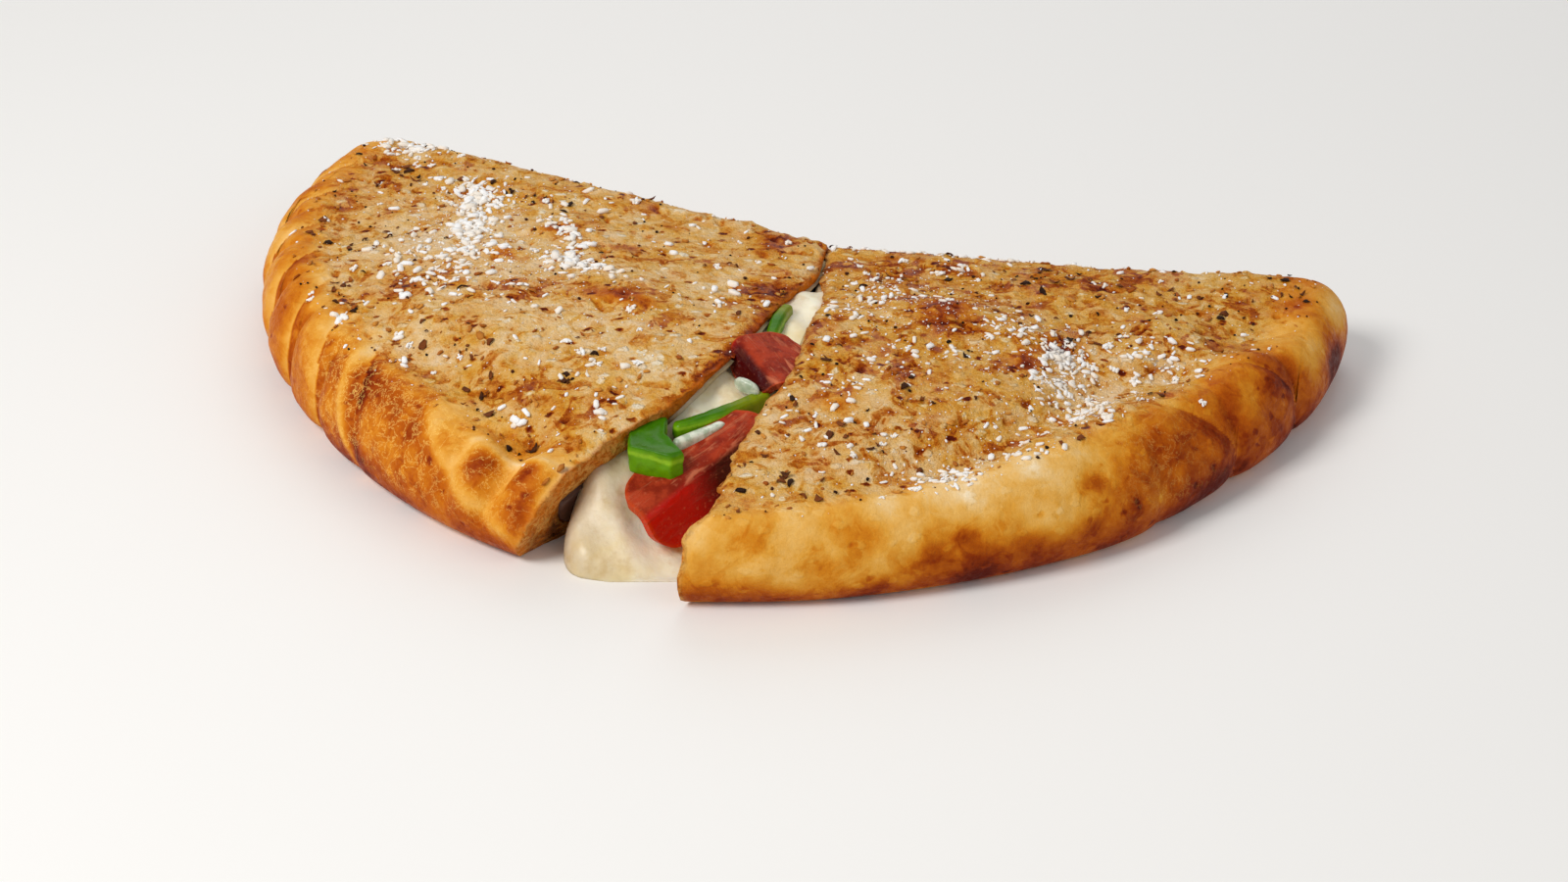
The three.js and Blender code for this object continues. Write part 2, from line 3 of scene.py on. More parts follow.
import bpy
import numpy as np
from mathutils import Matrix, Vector


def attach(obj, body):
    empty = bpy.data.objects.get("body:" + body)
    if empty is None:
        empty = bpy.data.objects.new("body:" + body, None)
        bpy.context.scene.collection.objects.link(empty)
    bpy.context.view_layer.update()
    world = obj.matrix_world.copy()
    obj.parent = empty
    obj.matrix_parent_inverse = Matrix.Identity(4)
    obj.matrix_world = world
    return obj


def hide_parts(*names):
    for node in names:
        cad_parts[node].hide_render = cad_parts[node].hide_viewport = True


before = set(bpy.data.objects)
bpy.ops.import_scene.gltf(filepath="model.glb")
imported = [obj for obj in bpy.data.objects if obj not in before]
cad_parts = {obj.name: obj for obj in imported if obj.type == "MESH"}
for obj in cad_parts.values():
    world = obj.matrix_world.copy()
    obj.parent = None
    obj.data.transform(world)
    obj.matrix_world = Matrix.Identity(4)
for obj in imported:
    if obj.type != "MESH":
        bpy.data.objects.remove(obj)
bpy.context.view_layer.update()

# Sizes are in millimetres and become metres when a mesh is made.
mm = 0.001


def smooth(a, b, x):
    # 0 below a, 1 above b, and 3s^2 - 2s^3 between them
    s = np.clip((x - a) / (b - a), 0, 1)
    return s * s * (3 - 2 * s)


def bell(x):
    # e to the minus x squared
    return np.exp(-np.square(x))


def roundOff(x):
    # a quarter circle that rises from 0 to 1
    s = 1 - np.clip(x, 0, 1)
    return np.sqrt(1 - s * s)


def squared(x, power):
    # squares off a circle: a power under 1 with the sign kept
    return np.sign(x) * np.abs(x) ** power


def fullTurn(count):
    # even angles round a circle, as one row
    return np.linspace(0, 2 * np.pi, count, endpoint=False)[None, :]


def unit(a):
    # each vector divided by its length
    return a / np.maximum(np.linalg.norm(a, axis=-1, keepdims=True), 1e-9)


def curveThrough(points, x):
    # a cubic through the points, its slope at each the slope between its neighbours
    p = np.array(points, float)
    last = len(p) - 1
    x = np.clip(x, p[0, 0], p[last, 0])
    i = np.clip(np.searchsorted(p[:, 0], x) - 1, 0, last - 1)
    before = np.clip(np.arange(last + 1) - 1, 0, last)
    after = np.clip(np.arange(last + 1) + 1, 0, last)
    slope = (p[after, 1] - p[before, 1]) / (p[after, 0] - p[before, 0])
    step = p[i + 1, 0] - p[i, 0]
    s = (x - p[i, 0]) / step
    rise = p[i + 1, 1] - p[i, 1]
    m0 = slope[i] * step
    m1 = slope[i + 1] * step
    cubic = (3 * rise - 2 * m0 - m1) * s ** 2 + (m0 + m1 - 2 * rise) * s ** 3
    return p[i, 1] + m0 * s + cubic


def latticeNoise(p, seed):
    # random values on a cubic lattice, blended smoothly between its corners
    count = 512  # a power of two, so that & wraps round the table
    table = np.random.RandomState(seed).permutation(count)
    cell = np.floor(p).astype(int)
    f = p - cell
    f = f * f * (3 - 2 * f)
    total = 0
    for dx in (0, 1):
        wx = f[..., 0] if dx else 1 - f[..., 0]
        hx = table[(cell[..., 0] + dx) & (count - 1)]
        for dy in (0, 1):
            wy = f[..., 1] if dy else 1 - f[..., 1]
            hy = table[(hx + cell[..., 1] + dy) & (count - 1)]
            for dz in (0, 1):
                wz = f[..., 2] if dz else 1 - f[..., 2]
                hz = table[(hy + cell[..., 2] + dz) & (count - 1)]
                total = total + wx * wy * wz * hz
    return total / ((count - 1) / 2) - 1


def cloud(p, size, octaves, seed):
    # layers of lattice noise, each half the size and half the strength, about -1 to 1
    total = 0
    strength = 1
    for k in range(octaves):
        total = total + strength * latticeNoise(p / size * 2 ** k + 17.3 * k, seed + k)
        strength *= 0.5
    return total * 0.8


def cells(u, v, size, seed):
    # distance in cells to the nearest of one random point per cell, and that point's number
    count = 4096  # a power of two, as above
    table = np.random.RandomState(seed).uniform(0, 1, (3, count))
    a, b = u / size, v / size
    ca, cb = np.floor(a).astype(int), np.floor(b).astype(int)
    best = np.full(np.shape(a), 9.0)
    number = np.zeros(np.shape(a))
    for da in (-1, 0, 1):
        for db in (-1, 0, 1):
            index = ((ca + da) * 157 + (cb + db) * 61) & (count - 1)
            far = np.hypot(ca + da + table[0][index] - a, cb + db + table[1][index] - b)
            number = np.where(far < best, table[2][index], number)
            best = np.minimum(best, far)
    return best, number


def spots(u, v, places):
    # a sum of bells, each [u, v, half length, half width, turn in degrees, height]
    total = 0 * u
    for su, sv, length, width, turn, height in places:
        a = math.radians(turn)
        du = (u - su) * math.cos(a) + (v - sv) * math.sin(a)
        dv = (v - sv) * math.cos(a) - (u - su) * math.sin(a)
        total = total + height * np.exp(-(du / length) ** 2 - (dv / width) ** 2)
    return total


# Sizes that both halves share, the same as the solids'.
dough = {
    "meeting": (11, 44),
    "footing": (-1.25, -1),
    "waist": 9,
    "undercut": 7,
    "foldShoulder": 13,
    "cutReach": 70,
    "pleatRise": 2.2,
    "pleatLength": 14,
    "pleatEase": 8,
    "valleyInset": 9,
    "valleyWidth": 7,
    "crustThickness": 4.6,
    "floorThickness": 4,
    "foldWall": 8,
    "edgeThinning": 0.5,
    "thinningReach": 9,
    "thickeningReach": 14,
    "thinningEnds": (95, 110),  # over these v
    "thickeningStarts": (104, 126),
    "leanStarts": (30, 80),
    "fall": 1.5,  # power by which the cut's shift fades out
    "pocketCorner": 12,
    "pocketWaist": 13,
    "pocketShoulder": 9,
    "pocketUndercut": 6,
}

# u runs along the fold from the meeting point, v from the fold to the rim.
# Pairs are [degrees from the fold, millimetres], and [v, u] for the cut line. Spots are
# [u, v, half length, half width, turn in degrees, height or strength], and rim spots
# [degrees, height, half width, half height, strength].
leftHalf = {
    "name": "crust_left",
    "seed": 11,
    "foldTurn": 150.5,  # degrees
    "hand": 1,  # side of the fold on which the rim lies
    "radius": [(0, 152), (12, 153.5), (25, 154.5), (40, 153), (60, 151.5), (92, 154.5)],
    "shoulder": [(0, 12), (30, 12), (55, 11), (72, 14), (84, 12), (92, 8)],
    "cornerRadius": 20,
    "rimWall": 13,
    "edgeHeight": 23.5,
    "crown": {"height": 8.5, "v": 85, "width": 50, "reach": 115},
    "valley": [(0, 0.5), (50, 1), (70, 2.5), (80, 3.5), (90, 1)],
    "pleats": {"from": 8, "to": 70, "spacing": 8.5, "depth": 3.2, "slant": 0.35},
    "cutLine": [
        (0, 0.2), (15, -5.8), (30, -11.6), (52, -14), (82, -19.7), (104, -19.4), (119, -15.5),
        (134, -10), (149, -6)],
    "cutLean": 8,
    "frontThickening": 1.2,  # share by which the top is thicker at the cut's front
    "relief": [
        (50, 103, 26, 18, 0, 2.2), (9, 143, 5, 9, 0, -4.5), (-6, 152, 14, 9, 0, -6),
        (58, 43, 13, 10, 20, 1.5), (67, 61, 10, 8, 0, 1.2), (25, 71, 16, 12, 0, 1.4),
        (104, 58, 22, 14, 30, -2), (84, 22, 20, 9, 0, 1.2)],
    "blisters": [
        (59, 46, 5, 4, 20, 0.7), (63, 66, 4, 4, 0, 0.6), (28, 77, 7, 3.5, 10, 0.8),
        (47, 87, 4, 3, 0, 0.5), (55, 36, 3, 4, 20, 0.4), (14, 19, 3, 6, 0, 0.4), (4, 50, 3, 8, 0, 0.4),
        (78, 100, 4, 3, 0, 0.4), (70, 108, 4, 3, 0, -0.6), (113, 55, 3, 3, 0, 0.3),
        (36, 62, 3, 5, 20, 0.4), (91, 54, 3, 4, 0, 0.3), (17, 148, 4, 6, 0, 1.6),
        (5, 148, 4, 6, 0, 1.6), (11.5, 147, 1.7, 8, 0, -1.9), (23.5, 147, 2, 7, 0, -1),
        (14, 135.5, 13, 4, 0, -1.8), (10, 143, 14, 1.6, 0, 0.7)],
    "browned": [
        (59, 46, 6, 5, 20, 0.5), (63, 66, 5, 4.5, 0, 0.42), (28, 77, 9, 4.5, 10, 0.5),
        (47, 87, 5, 4, 0, 0.3), (55, 36, 4, 5, 20, 0.28), (14, 19, 4, 8, 0, 0.35),
        (4, 47, 5, 11, 0, 0.5), (80, 101, 3, 2, 0, 0.2), (110, 90, 7, 7, 0, 0.25),
        (30, 118, 24, 10, -15, 0.1), (118, 50, 14, 30, 0, 0.08), (70, 14, 40, 8, 0, 0.08),
        (95, 104, 6, 5, 0, 0.25), (48, 138, 16, 8, -20, 0.14), (30, 146, 14, 7, -10, 0.1),
        (60, 130, 8, 8, 0, 0.1), (14, 136, 12, 3, 0, 0.16), (17.5, 147, 3, 4, 0, 0.17),
        (6.5, 146.5, 2.2, 4, 0, 0.26), (3, 151, 2.4, 3, 0, 0.24), (11.5, 145, 2.4, 6, 0, -0.36),
        (22.5, 146, 2, 5, 0, -0.26), (0, 147, 1.4, 6, 0, -0.36), (12, 142.5, 14, 1.6, 0, -0.34),
        (112, 47, 5, 4, 0, 0.12), (85, 60, 14, 8, 0, -0.12), (100, 60, 16, 12, 0, -0.1)],
    "base": (21, 0.8),  # height and tone of the darker foot, browned and partly painted shade
    "rimSpots": [
        (48, 20, 5, 6, 0.08), (55, 18, 4, 5, 0.08), (71, 13, 4, 8, 0.12), (78, 9, 3, 4, 0.12),
        (84.5, 7, 2.5, 4, 0.2), (75, 22, 2, 3, 0.14), (65, 23, 3, 3, 0.08)],
    "folds": [
        (80, 0.72, 1.7, -0.26, 0.8), (64.2, 0.24, 0.7, -0.32, 0.5), (66.4, 0.24, 1.6, 0.14, -0.4),
        (76.5, 0.6, 1.4, 0.02, -0.3)],
    "powder": [
        (92, 34, 7, 5, -30, 1), (84, 45, 8, 3, -45, 0.8), (132, 14, 8, 7, 0, 0.8),
        (44, 63, 10, 4, -10, 1), (54, 47, 6, 3, -40, 0.7), (78, 57, 10, 4, -45, 0.6),
        (70, 68, 8, 5, -45, 0.6), (65, 85, 12, 9, -20, 0.5), (146, 22, 5, 12, 0, 0.5),
        (80, 112, 2, 4, 0, 0.6)],
    "dust": [
        (76, 66, 34, 20, -20, 0.36), (50, 90, 30, 20, 0, 0.16), (50, 24, 50, 14, 0, -0.2),
        (100, 22, 30, 16, 0, -0.2)],
    "crackle": [
        (72, 122, 14, 12, 0, 0.8), (58, 132, 14, 14, 0, 1), (34, 142, 16, 14, 0, 1),
        (10, 148, 12, 10, 0, 0.7)],
    "tone": 0.31,  # how far the top is baked
    "creaseTone": 1,  # strength of the creases' shading
    "dustTone": 0.22,  # flour all over the top
    "grainSeed": 7,
    "grainSpots": [(90, 41), (44, 58), (124, 20), (70, 75), (12, 100)],
}

rightHalf = {
    "name": "crust_right",
    "seed": 37,
    "foldTurn": -9,  # degrees
    "hand": -1,  # side of the fold on which the rim lies
    "radius": [
        (0, 139), (20, 139.5), (40, 140.5), (53, 145), (62, 146.5), (72, 149.5), (82, 154), (90, 157.5),
        (97, 162)],
    "shoulder": [(0, 9), (20, 11), (32, 15), (42, 22), (52, 20), (65, 13), (76, 10), (86, 7), (92, 6)],
    "cornerRadius": 15,
    "rimWall": 17,
    "edgeHeight": 22,
    "crown": {"height": 9.5, "v": 82, "width": 48, "reach": 95},
    "valley": [(0, 0), (20, 1), (35, 3.5), (55, 4), (72, 3.5), (84, 1)],
    "pleats": {"from": 12, "to": 52, "spacing": 12, "depth": 2, "slant": -0.5},
    "cutLine": [
        (0, 0.2), (16, 0.8), (32, 1.6), (46, 4.4), (72, 3.8), (97, 3), (108, -1), (127, -4.4),
        (148, -7), (156, -11.5)],
    "cutLean": -2,
    "frontThickening": 0,  # share by which the top is thicker at the cut's front
    "relief": [
        (38, 55, 17, 13, 0, 3), (59, 62, 9, 8, 0, 1.5), (72, 73, 9, 15, 20, -3.2),
        (90, 77, 15, 8, -40, -2.5), (98, 55, 22, 8, 38, 2.6), (122, 60, 15, 7, -12, 2.6),
        (68, 29, 18, 13, 0, 1.6), (96, 88, 17, 9, -45, 3), (116, 16, 18, 14, 0, 2.4)],
    "blisters": [
        (36, 55, 7, 7, 0, 0.8), (59, 75, 4, 5, 0, 0.7), (17, 105, 5, 4, 0, 0.6), (19, 10, 4, 7, 0, 0.4),
        (70, 23, 3, 3, 0, 0.4), (110, 76, 5, 4, 0, 0.5), (38, 66, 5, 4, 0, 0.4), (98, 98, 5, 4, 0, 0.4),
        (34, 89, 6, 4, 0, 0.4)],
    "browned": [
        (36, 54, 7, 8, 0, 0.4), (59, 75, 4, 5, 0, 0.4), (38, 66, 7, 5, 0, 0.25),
        (17, 105, 5, 4, 0, 0.25), (19, 11, 4, 8, 0, 0.35), (70, 23, 3, 3, 0, 0.35),
        (34, 89, 9, 6, 0, 0.2), (104, 87, 12, 9, -45, 0.1), (90, 101, 9, 5, -30, 0.12),
        (110, 76, 5, 4, 0, 0.1), (123, 57, 4, 6, 0, 0.1), (30, 30, 40, 20, 0, 0.1),
        (118, 38, 10, 12, 0, -0.1), (78, 82, 9, 13, 10, -0.2), (80, 96, 12, 10, 0, -0.1),
        (50, 130, 30, 9, -30, -0.14), (14, 136, 16, 9, -10, -0.1)],
    "base": (16, 0.95),  # height and tone of the darker foot, browned and partly painted shade
    "rimSpots": [
        (78.2, 17, 1.7, 5, 0.36), (85.2, 20, 2, 3.5, 0.18), (80.7, 11, 1.8, 3, 0.2),
        (74, 22, 1.2, 2, 0.16), (69.4, 15.3, 1.1, 2.2, 0.26), (64, 18, 1, 4, 0.08),
        (56.1, 19.7, 1.3, 2.2, 0.28), (58, 19, 3, 2.5, 0.1), (61, 9, 3.5, 3.5, 0.14),
        (52, 8, 3, 3, 0.06), (46, 18, 6, 6, 0.08), (36, 20, 1.6, 5, 0.1), (28.5, 21, 2, 3, 0.14),
        (13.4, 11, 3.6, 6, 0.5), (8.5, 20, 4, 5, -0.3), (18, 20, 4, 4, -0.2), (74, 14, 2, 5, -0.04),
        (65, 17, 6, 6, 0.16), (65, 10, 7, 5, 0.24)],
    "folds": [(60, 0, 3, -0.08, 0.3), (84, 0.1, 2, -0.06, 0.2)],  # as rimFolds says
    "powder": [
        (67, 67, 7, 6, 0, 1), (67, 81, 5, 9, 10, 0.9), (91, 62, 9, 5, 0, 0.8), (78, 96, 8, 3, 0, 0.8),
        (45, 126, 8, 6, 0, 0.9), (62, 110, 5, 7, 10, 0.5), (20, 38, 7, 5, 0, 0.4),
        (12, 58, 6, 5, 0, 0.4), (52, 62, 6, 5, 0, 0.4)],
    "dust": [
        (72, 78, 16, 18, 0, 0.5), (45, 126, 16, 10, 0, 0.3), (92, 62, 14, 8, 0, 0.3),
        (15, 116, 30, 20, 0, 0.4), (14, 46, 14, 20, 0, 0.2), (84, 96, 12, 10, 0, 0.2)],
    "crackle": [(92, 100, 16, 14, 0, 0.4)],
    "tone": 0.43,  # how far the top is baked
    "creaseTone": 0.4,  # strength of the creases' shading
    "dustTone": 0.03,  # flour all over the top
    "grainSeed": 23,
    "grainSpots": [(67, 66), (75, 81), (39, 124), (91, 76), (20, 40)],
}


def angleFromFold(u, v):
    return np.degrees(np.arctan2(v, u))


def rimDistance(half, u, v):
    # how far in from the rim's outline, without its creases
    return curveThrough(half["radius"], angleFromFold(u, v)) - np.hypot(u, v)


def crease(half, angle, fromRim):
    # 1 along each crease between two pleats and 0 on their backs
    pleats = half["pleats"]
    ease = dough["pleatEase"]
    window = smooth(pleats["from"], pleats["from"] + ease, angle)
    window = window * (1 - smooth(pleats["to"] - ease, pleats["to"], angle))
    wave = np.sin(np.pi * (angle + pleats["slant"] * fromRim) / pleats["spacing"])
    return window * (1 - np.abs(wave)) ** 2


def rimFolds(half, angle, z, nearRim):
    # shallow folds down the rim, each [degrees at 20 mm up, degrees per mm down, half width,
    # how far it shifts the baked tone, height], as the sums of what they darken and of what they
    # raise; a raised fold is paler and a sunk one darker, partly their own tone and partly
    # painted highlight and painted shade
    browned = raised = 0
    for start, slope, wide, amount, height in half["folds"]:
        fold = bell((angle - start - slope * (20 - z)) / wide) * nearRim
        browned = browned + amount * fold
        raised = raised + height * fold
    return browned, raised


def rimRadius(half, u, v):
    # the outline's radius, drawn in at each crease
    angle = angleFromFold(u, v)
    drawn = half["pleats"]["depth"] * crease(half, angle, 0)
    return curveThrough(half["radius"], angle) - drawn


def crustHeight(half, u, v):
    # a level edge, a crown over the filling, a valley inside the rim, creases and reliefs
    angle = angleFromFold(u, v)
    fromRim = rimDistance(half, u, v)
    crown = half["crown"]
    over = bell((v - crown["v"]) / crown["width"]) * bell(np.maximum(0, u) / crown["reach"])
    z = half["edgeHeight"] + crown["height"] * over
    fromValley = fromRim - curveThrough(half["shoulder"], angle) - dough["valleyInset"]
    z = z - curveThrough(half["valley"], angle) * bell(fromValley / dough["valleyWidth"])
    fade = bell(fromRim / dough["pleatLength"])
    z = z - dough["pleatRise"] * crease(half, angle, fromRim) * fade
    return z + spots(u, v, half["relief"])


outerSkin = {"fold": 0, "rim": 0, "corner": None, "waist": dough["waist"], "lift": 0,
             "floor": 0, "shoulder": None, "undercut": dough["undercut"]}


def pocketSkin(half):
    return {"fold": dough["foldWall"], "rim": half["rimWall"], "corner": dough["pocketCorner"],
            "waist": dough["pocketWaist"], "lift": -dough["crustThickness"],
            "floor": dough["floorThickness"], "shoulder": dough["pocketShoulder"],
            "undercut": dough["pocketUndercut"]}


def inside(half, skin, u, v):
    # distance in from the skin's outline, with the corner at the tip rounded
    a = v - skin["fold"]
    b = rimRadius(half, u, v) - np.hypot(u, v) - skin["rim"]
    c = skin["corner"] or half["cornerRadius"]
    return np.where((a < c) & (b < c), c - np.hypot(c - a, c - b), np.minimum(a, b))


def place(half, u, v, z):
    # from a half's own plan to the whole's
    turn = math.radians(half["foldTurn"])
    side = half["hand"] * v
    x = dough["meeting"][0] + dough["footing"][0] + u * math.cos(turn) - side * math.sin(turn)
    y = dough["meeting"][1] + dough["footing"][1] + u * math.sin(turn) + side * math.cos(turn)
    return np.stack([x, y, z + 0 * x], axis=-1)


def fromPlan(p):
    # from the whole's plan to the middle of its footprint
    return p + [dough["footing"][0], dough["footing"][1], 0]


def skinPoint(half, skin, u, v, upper):
    # a point of a skin over or under its waist, shifted near the cut to the cut's own line
    d = inside(half, skin, u, v)
    fall = np.maximum(0, 1 - u / dough["cutReach"]) ** dough["fall"]
    shifted = u + curveThrough(half["cutLine"], v) * fall
    thinning = dough["edgeThinning"] * bell(u / dough["thinningReach"])
    thinning = thinning * (1 - smooth(*dough["thinningEnds"], v))
    thickening = half["frontThickening"] * bell(u / dough["thickeningReach"])
    thickening = thickening * smooth(*dough["thickeningStarts"], v)
    crustTop = crustHeight(half, shifted, v)
    top = crustTop + skin["lift"] * (1 - thinning + thickening)
    fromFold = np.maximum(0, v - skin["fold"])
    fromRim = np.maximum(0, rimRadius(half, u, v) - np.hypot(u, v) - skin["rim"])
    nearRim = smooth(0.3, 0.7, fromFold / (fromFold + fromRim + 0.01))
    rimShoulder = curveThrough(half["shoulder"], angleFromFold(u, v))
    own = dough["foldShoulder"] + (rimShoulder - dough["foldShoulder"]) * nearRim
    shoulder = skin["shoulder"] or own
    waist = skin["waist"]
    over = waist + (top - waist) * roundOff(d / shoulder)
    under = waist - (waist - skin["floor"]) * roundOff(d / skin["undercut"])
    z = np.where(upper, over, under)
    lean = half["cutLean"] * smooth(*dough["leanStarts"], v) * (1 - z / crustTop) * fall
    return place(half, shifted + lean, v, z)


searched = {"v": np.arange(0, 160.5, 0.5), "u": np.linspace(60, 165, 2101), "halvings": 30}


def sectionEnds(half, skin, u):
    # where the outline crosses each section, by bisection from its deepest point
    v = searched["v"]
    depth = inside(half, skin, u[:, None], v[None, :])
    middle = v[np.argmax(depth, axis=1)]
    closed = depth.max(axis=1) <= 0
    ends = []
    for start in (-5.0, 170.0):
        out = np.full_like(u, start)
        inn = middle.copy()
        for _ in range(searched["halvings"]):
            mid = (out + inn) / 2
            isIn = inside(half, skin, u, mid) > 0
            inn = np.where(isIn, mid, inn)
            out = np.where(isIn, out, mid)
        ends.append(np.where(closed, middle, (out + inn) / 2))
    return ends


def tipOf(half, skin):
    # the largest u that the outline still reaches
    u = searched["u"]
    reached = inside(half, skin, u[:, None], searched["v"][None, :]).max(axis=1) > 0
    return u[reached].max()


def skinGrid(half, skin, rowCount, topSteps, floorSteps):
    # sections from the cut to the tip, each over the top from the rim and back underneath
    tip = tipOf(half, skin)
    u = tip * np.sin(np.pi / 2 * np.arange(rowCount) / rowCount)
    low, high = sectionEnds(half, skin, u)
    i = np.arange(topSteps + floorSteps)
    turn = np.where(i < topSteps, i / topSteps, 1 + (i - topSteps) / floorSteps)
    upper = np.broadcast_to(i <= topSteps, (rowCount, len(i)))
    v = (low + high)[:, None] / 2 + (high - low)[:, None] / 2 * np.cos(np.pi * turn)[None, :]
    return np.broadcast_to(u[:, None], v.shape), v, upper



def tubeFaces(rows, around):
    # quads between rings, and a fan to a pole at each end
    k = np.arange(rows - 1)[:, None] * around
    i = np.arange(around)[None, :]
    j = (i + 1) % around
    quads = np.stack([k + i, k + j, k + around + j, k + around + i], axis=-1).reshape(-1, 4)
    first = rows * around
    i = np.arange(around)
    j = (i + 1) % around
    start = np.stack([np.full(around, first), j, i], axis=-1)
    base = (rows - 1) * around
    end = np.stack([np.full(around, first + 1), base + i, base + j], axis=-1)
    return quads, np.concatenate([start, end])


def signedVolume(points, quads, triangles):
    # a sixth of the sum of the triple products, positive when faces look outwards
    both = [triangles, quads[:, :3], quads[:, [0, 2, 3]]]
    tri = points[np.concatenate([b for b in both if len(b)])]
    return np.sum(tri[:, 0] * np.cross(tri[:, 1], tri[:, 2])) / 6


def closedTube(rings, poles=None):
    # rings of equal length joined into a closed skin; a missing pole is its ring's middle
    rows, around = rings.shape[:2]
    if poles is None:
        poles = np.stack([rings[0].mean(axis=0), rings[-1].mean(axis=0)])
    points = np.concatenate([rings.reshape(-1, 3), poles])
    quads, triangles = tubeFaces(rows, around)
    if signedVolume(points, quads, triangles) < 0:
        quads = quads[:, ::-1]
        triangles = triangles[:, ::-1]
    return points, quads, triangles


def withPoles(values):
    # a value per grid point, and for the two poles the mean of the ring beside each
    return np.concatenate([values.ravel(), [values[0].mean(), values[-1].mean()]])


def joined(parts):
    # several closed skins as one set of points and faces
    points, quads, triangles = [], [], []
    base = 0
    for p, q, t in parts:
        points.append(p)
        quads.append(q + base)
        triangles.append(t + base)
        base += len(p)
    return np.concatenate(points), np.concatenate(quads), np.concatenate(triangles)


def addObject(name, data):
    item = bpy.data.objects.new(name, data)
    bpy.context.scene.collection.objects.link(item)
    return item


def addPiece(name, skin, material, nodes=(), masks=None):
    # a mesh object with its masks as attributes, riding on the calzone
    points, quads, triangles = skin
    mesh = bpy.data.meshes.new(name)
    faces = quads.tolist() + triangles.tolist()
    mesh.from_pydata((points * mm).tolist(), [], faces)
    for key, values in (masks or {}).items():
        layer = mesh.attributes.new(key, "FLOAT", "POINT")
        layer.data.foreach_set("value", np.ascontiguousarray(values, dtype=np.float32))
    mesh.polygons.foreach_set("use_smooth", np.ones(len(mesh.polygons), dtype=bool))
    mesh.update()
    mesh.validate()
    mesh.materials.append(material)
    piece = addObject(name, mesh)
    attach(piece, "root")
    if nodes:
        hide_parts(*nodes)
    print("made", name, len(quads) * 2 + len(triangles), "triangles")



def colour(red, green, blue):
    # display values out of 255 as linear light
    c = np.array([red, green, blue]) / 255
    low = c / 12.92
    high = ((c + 0.055) / 1.055) ** 2.4
    return tuple(np.where(c <= 0.04045, low, high)) + (1.0,)


class Field:
    # an output socket, whose sums, differences and products add the nodes that they need

    def __init__(self, graph, socket):
        self.graph = graph
        self.socket = socket

    def __add__(self, other):
        return self.graph.math("ADD", self, other)

    def __radd__(self, other):
        return self.graph.math("ADD", other, self)

    def __sub__(self, other):
        return self.graph.math("SUBTRACT", self, other)

    def __rsub__(self, other):
        return self.graph.math("SUBTRACT", other, self)

    def __mul__(self, other):
        return self.graph.math("MULTIPLY", self, other)

    def clamped(self):
        # the last sum or product kept between 0 and 1
        self.socket.node.use_clamp = True
        return self


class Graph:
    # short calls that add nodes to one tree and link them

    def __init__(self, tree):
        self.tree = tree

    def feed(self, node, values):
        # a link for each field, and a fixed value for anything else
        for key, value in values.items():
            if isinstance(value, Field):
                self.tree.links.new(value.socket, node.inputs[key])
            else:
                node.inputs[key].default_value = value

    def add(self, kind, inputs=None, **settings):
        node = self.tree.nodes.new(kind)
        for key, value in settings.items():
            setattr(node, key, value)
        self.feed(node, inputs or {})
        return node

    def field(self, kind, inputs=None, output=0, **settings):
        return Field(self, self.add(kind, inputs, **settings).outputs[output])

    def math(self, operation, a, b=0.0):
        return self.field("ShaderNodeMath", {0: a, 1: b}, operation=operation)

    def vector(self, operation, a, b, second=1):
        return self.field("ShaderNodeVectorMath", {0: a, second: b}, operation=operation)

    def mix(self, factor, a, b, blend="MIX"):
        # the colour sockets of this node are its inputs 6 and 7 and its output 2
        return self.field("ShaderNodeMix", {0: factor, 6: a, 7: b}, 2, data_type="RGBA",
                          blend_type=blend)

    def range(self, value, low, high):
        # 0 at low and 1 at high, which may be the lesser
        return self.field("ShaderNodeMapRange", {"Value": value, "From Min": low, "From Max": high},
                          interpolation_type="SMOOTHSTEP")

    def ramp(self, value, stops):
        node = self.add("ShaderNodeValToRGB", {"Fac": value})
        elements = node.color_ramp.elements
        while len(elements) < len(stops):
            elements.new(0.5)
        for element, (position, rgb) in zip(elements, stops):
            element.position = position
            element.color = rgb
        return Field(self, node.outputs["Color"])

    def mask(self, name):
        return self.field("ShaderNodeAttribute", None, "Fac", attribute_name=name)

    def where(self):
        return self.field("ShaderNodeTexCoord", None, "Object")

    def noise(self, size, detail=3.0, rough=0.55, distortion=0.0, where=None):
        # size is that of one blotch in millimetres
        inputs = {"Vector": where or self.where(), "Scale": 1 / (size * mm), "Detail": detail,
                  "Roughness": rough, "Distortion": distortion}
        return self.field("ShaderNodeTexNoise", inputs, "Fac")

    def bump(self, height, strength, distance):
        inputs = {"Height": height, "Strength": strength, "Distance": distance}
        return self.field("ShaderNodeBump", inputs)

    def group(self, tree, **inputs):
        # the outputs of a node group by name
        node = self.add("ShaderNodeGroup", inputs, node_tree=tree)
        return {socket.name: Field(self, socket) for socket in node.outputs}


def newMaterial(name):
    material = bpy.data.materials.new(name)
    material.use_nodes = True
    tree = material.node_tree
    tree.nodes.clear()
    graph = Graph(tree)
    output = graph.add("ShaderNodeOutputMaterial")
    shader = graph.add("ShaderNodeBsdfPrincipled")
    tree.links.new(shader.outputs[0], output.inputs["Surface"])
    return material, graph, shader


def newGroup(name, given, outputs):
    group = bpy.data.node_groups.new(name, "ShaderNodeTree")
    for names, way in ((given, "INPUT"), (outputs, "OUTPUT")):
        for socket in names:
            group.interface.new_socket(socket, in_out=way, socket_type="NodeSocketFloat")
    graph = Graph(group)
    return group, graph, graph.add("NodeGroupOutput")


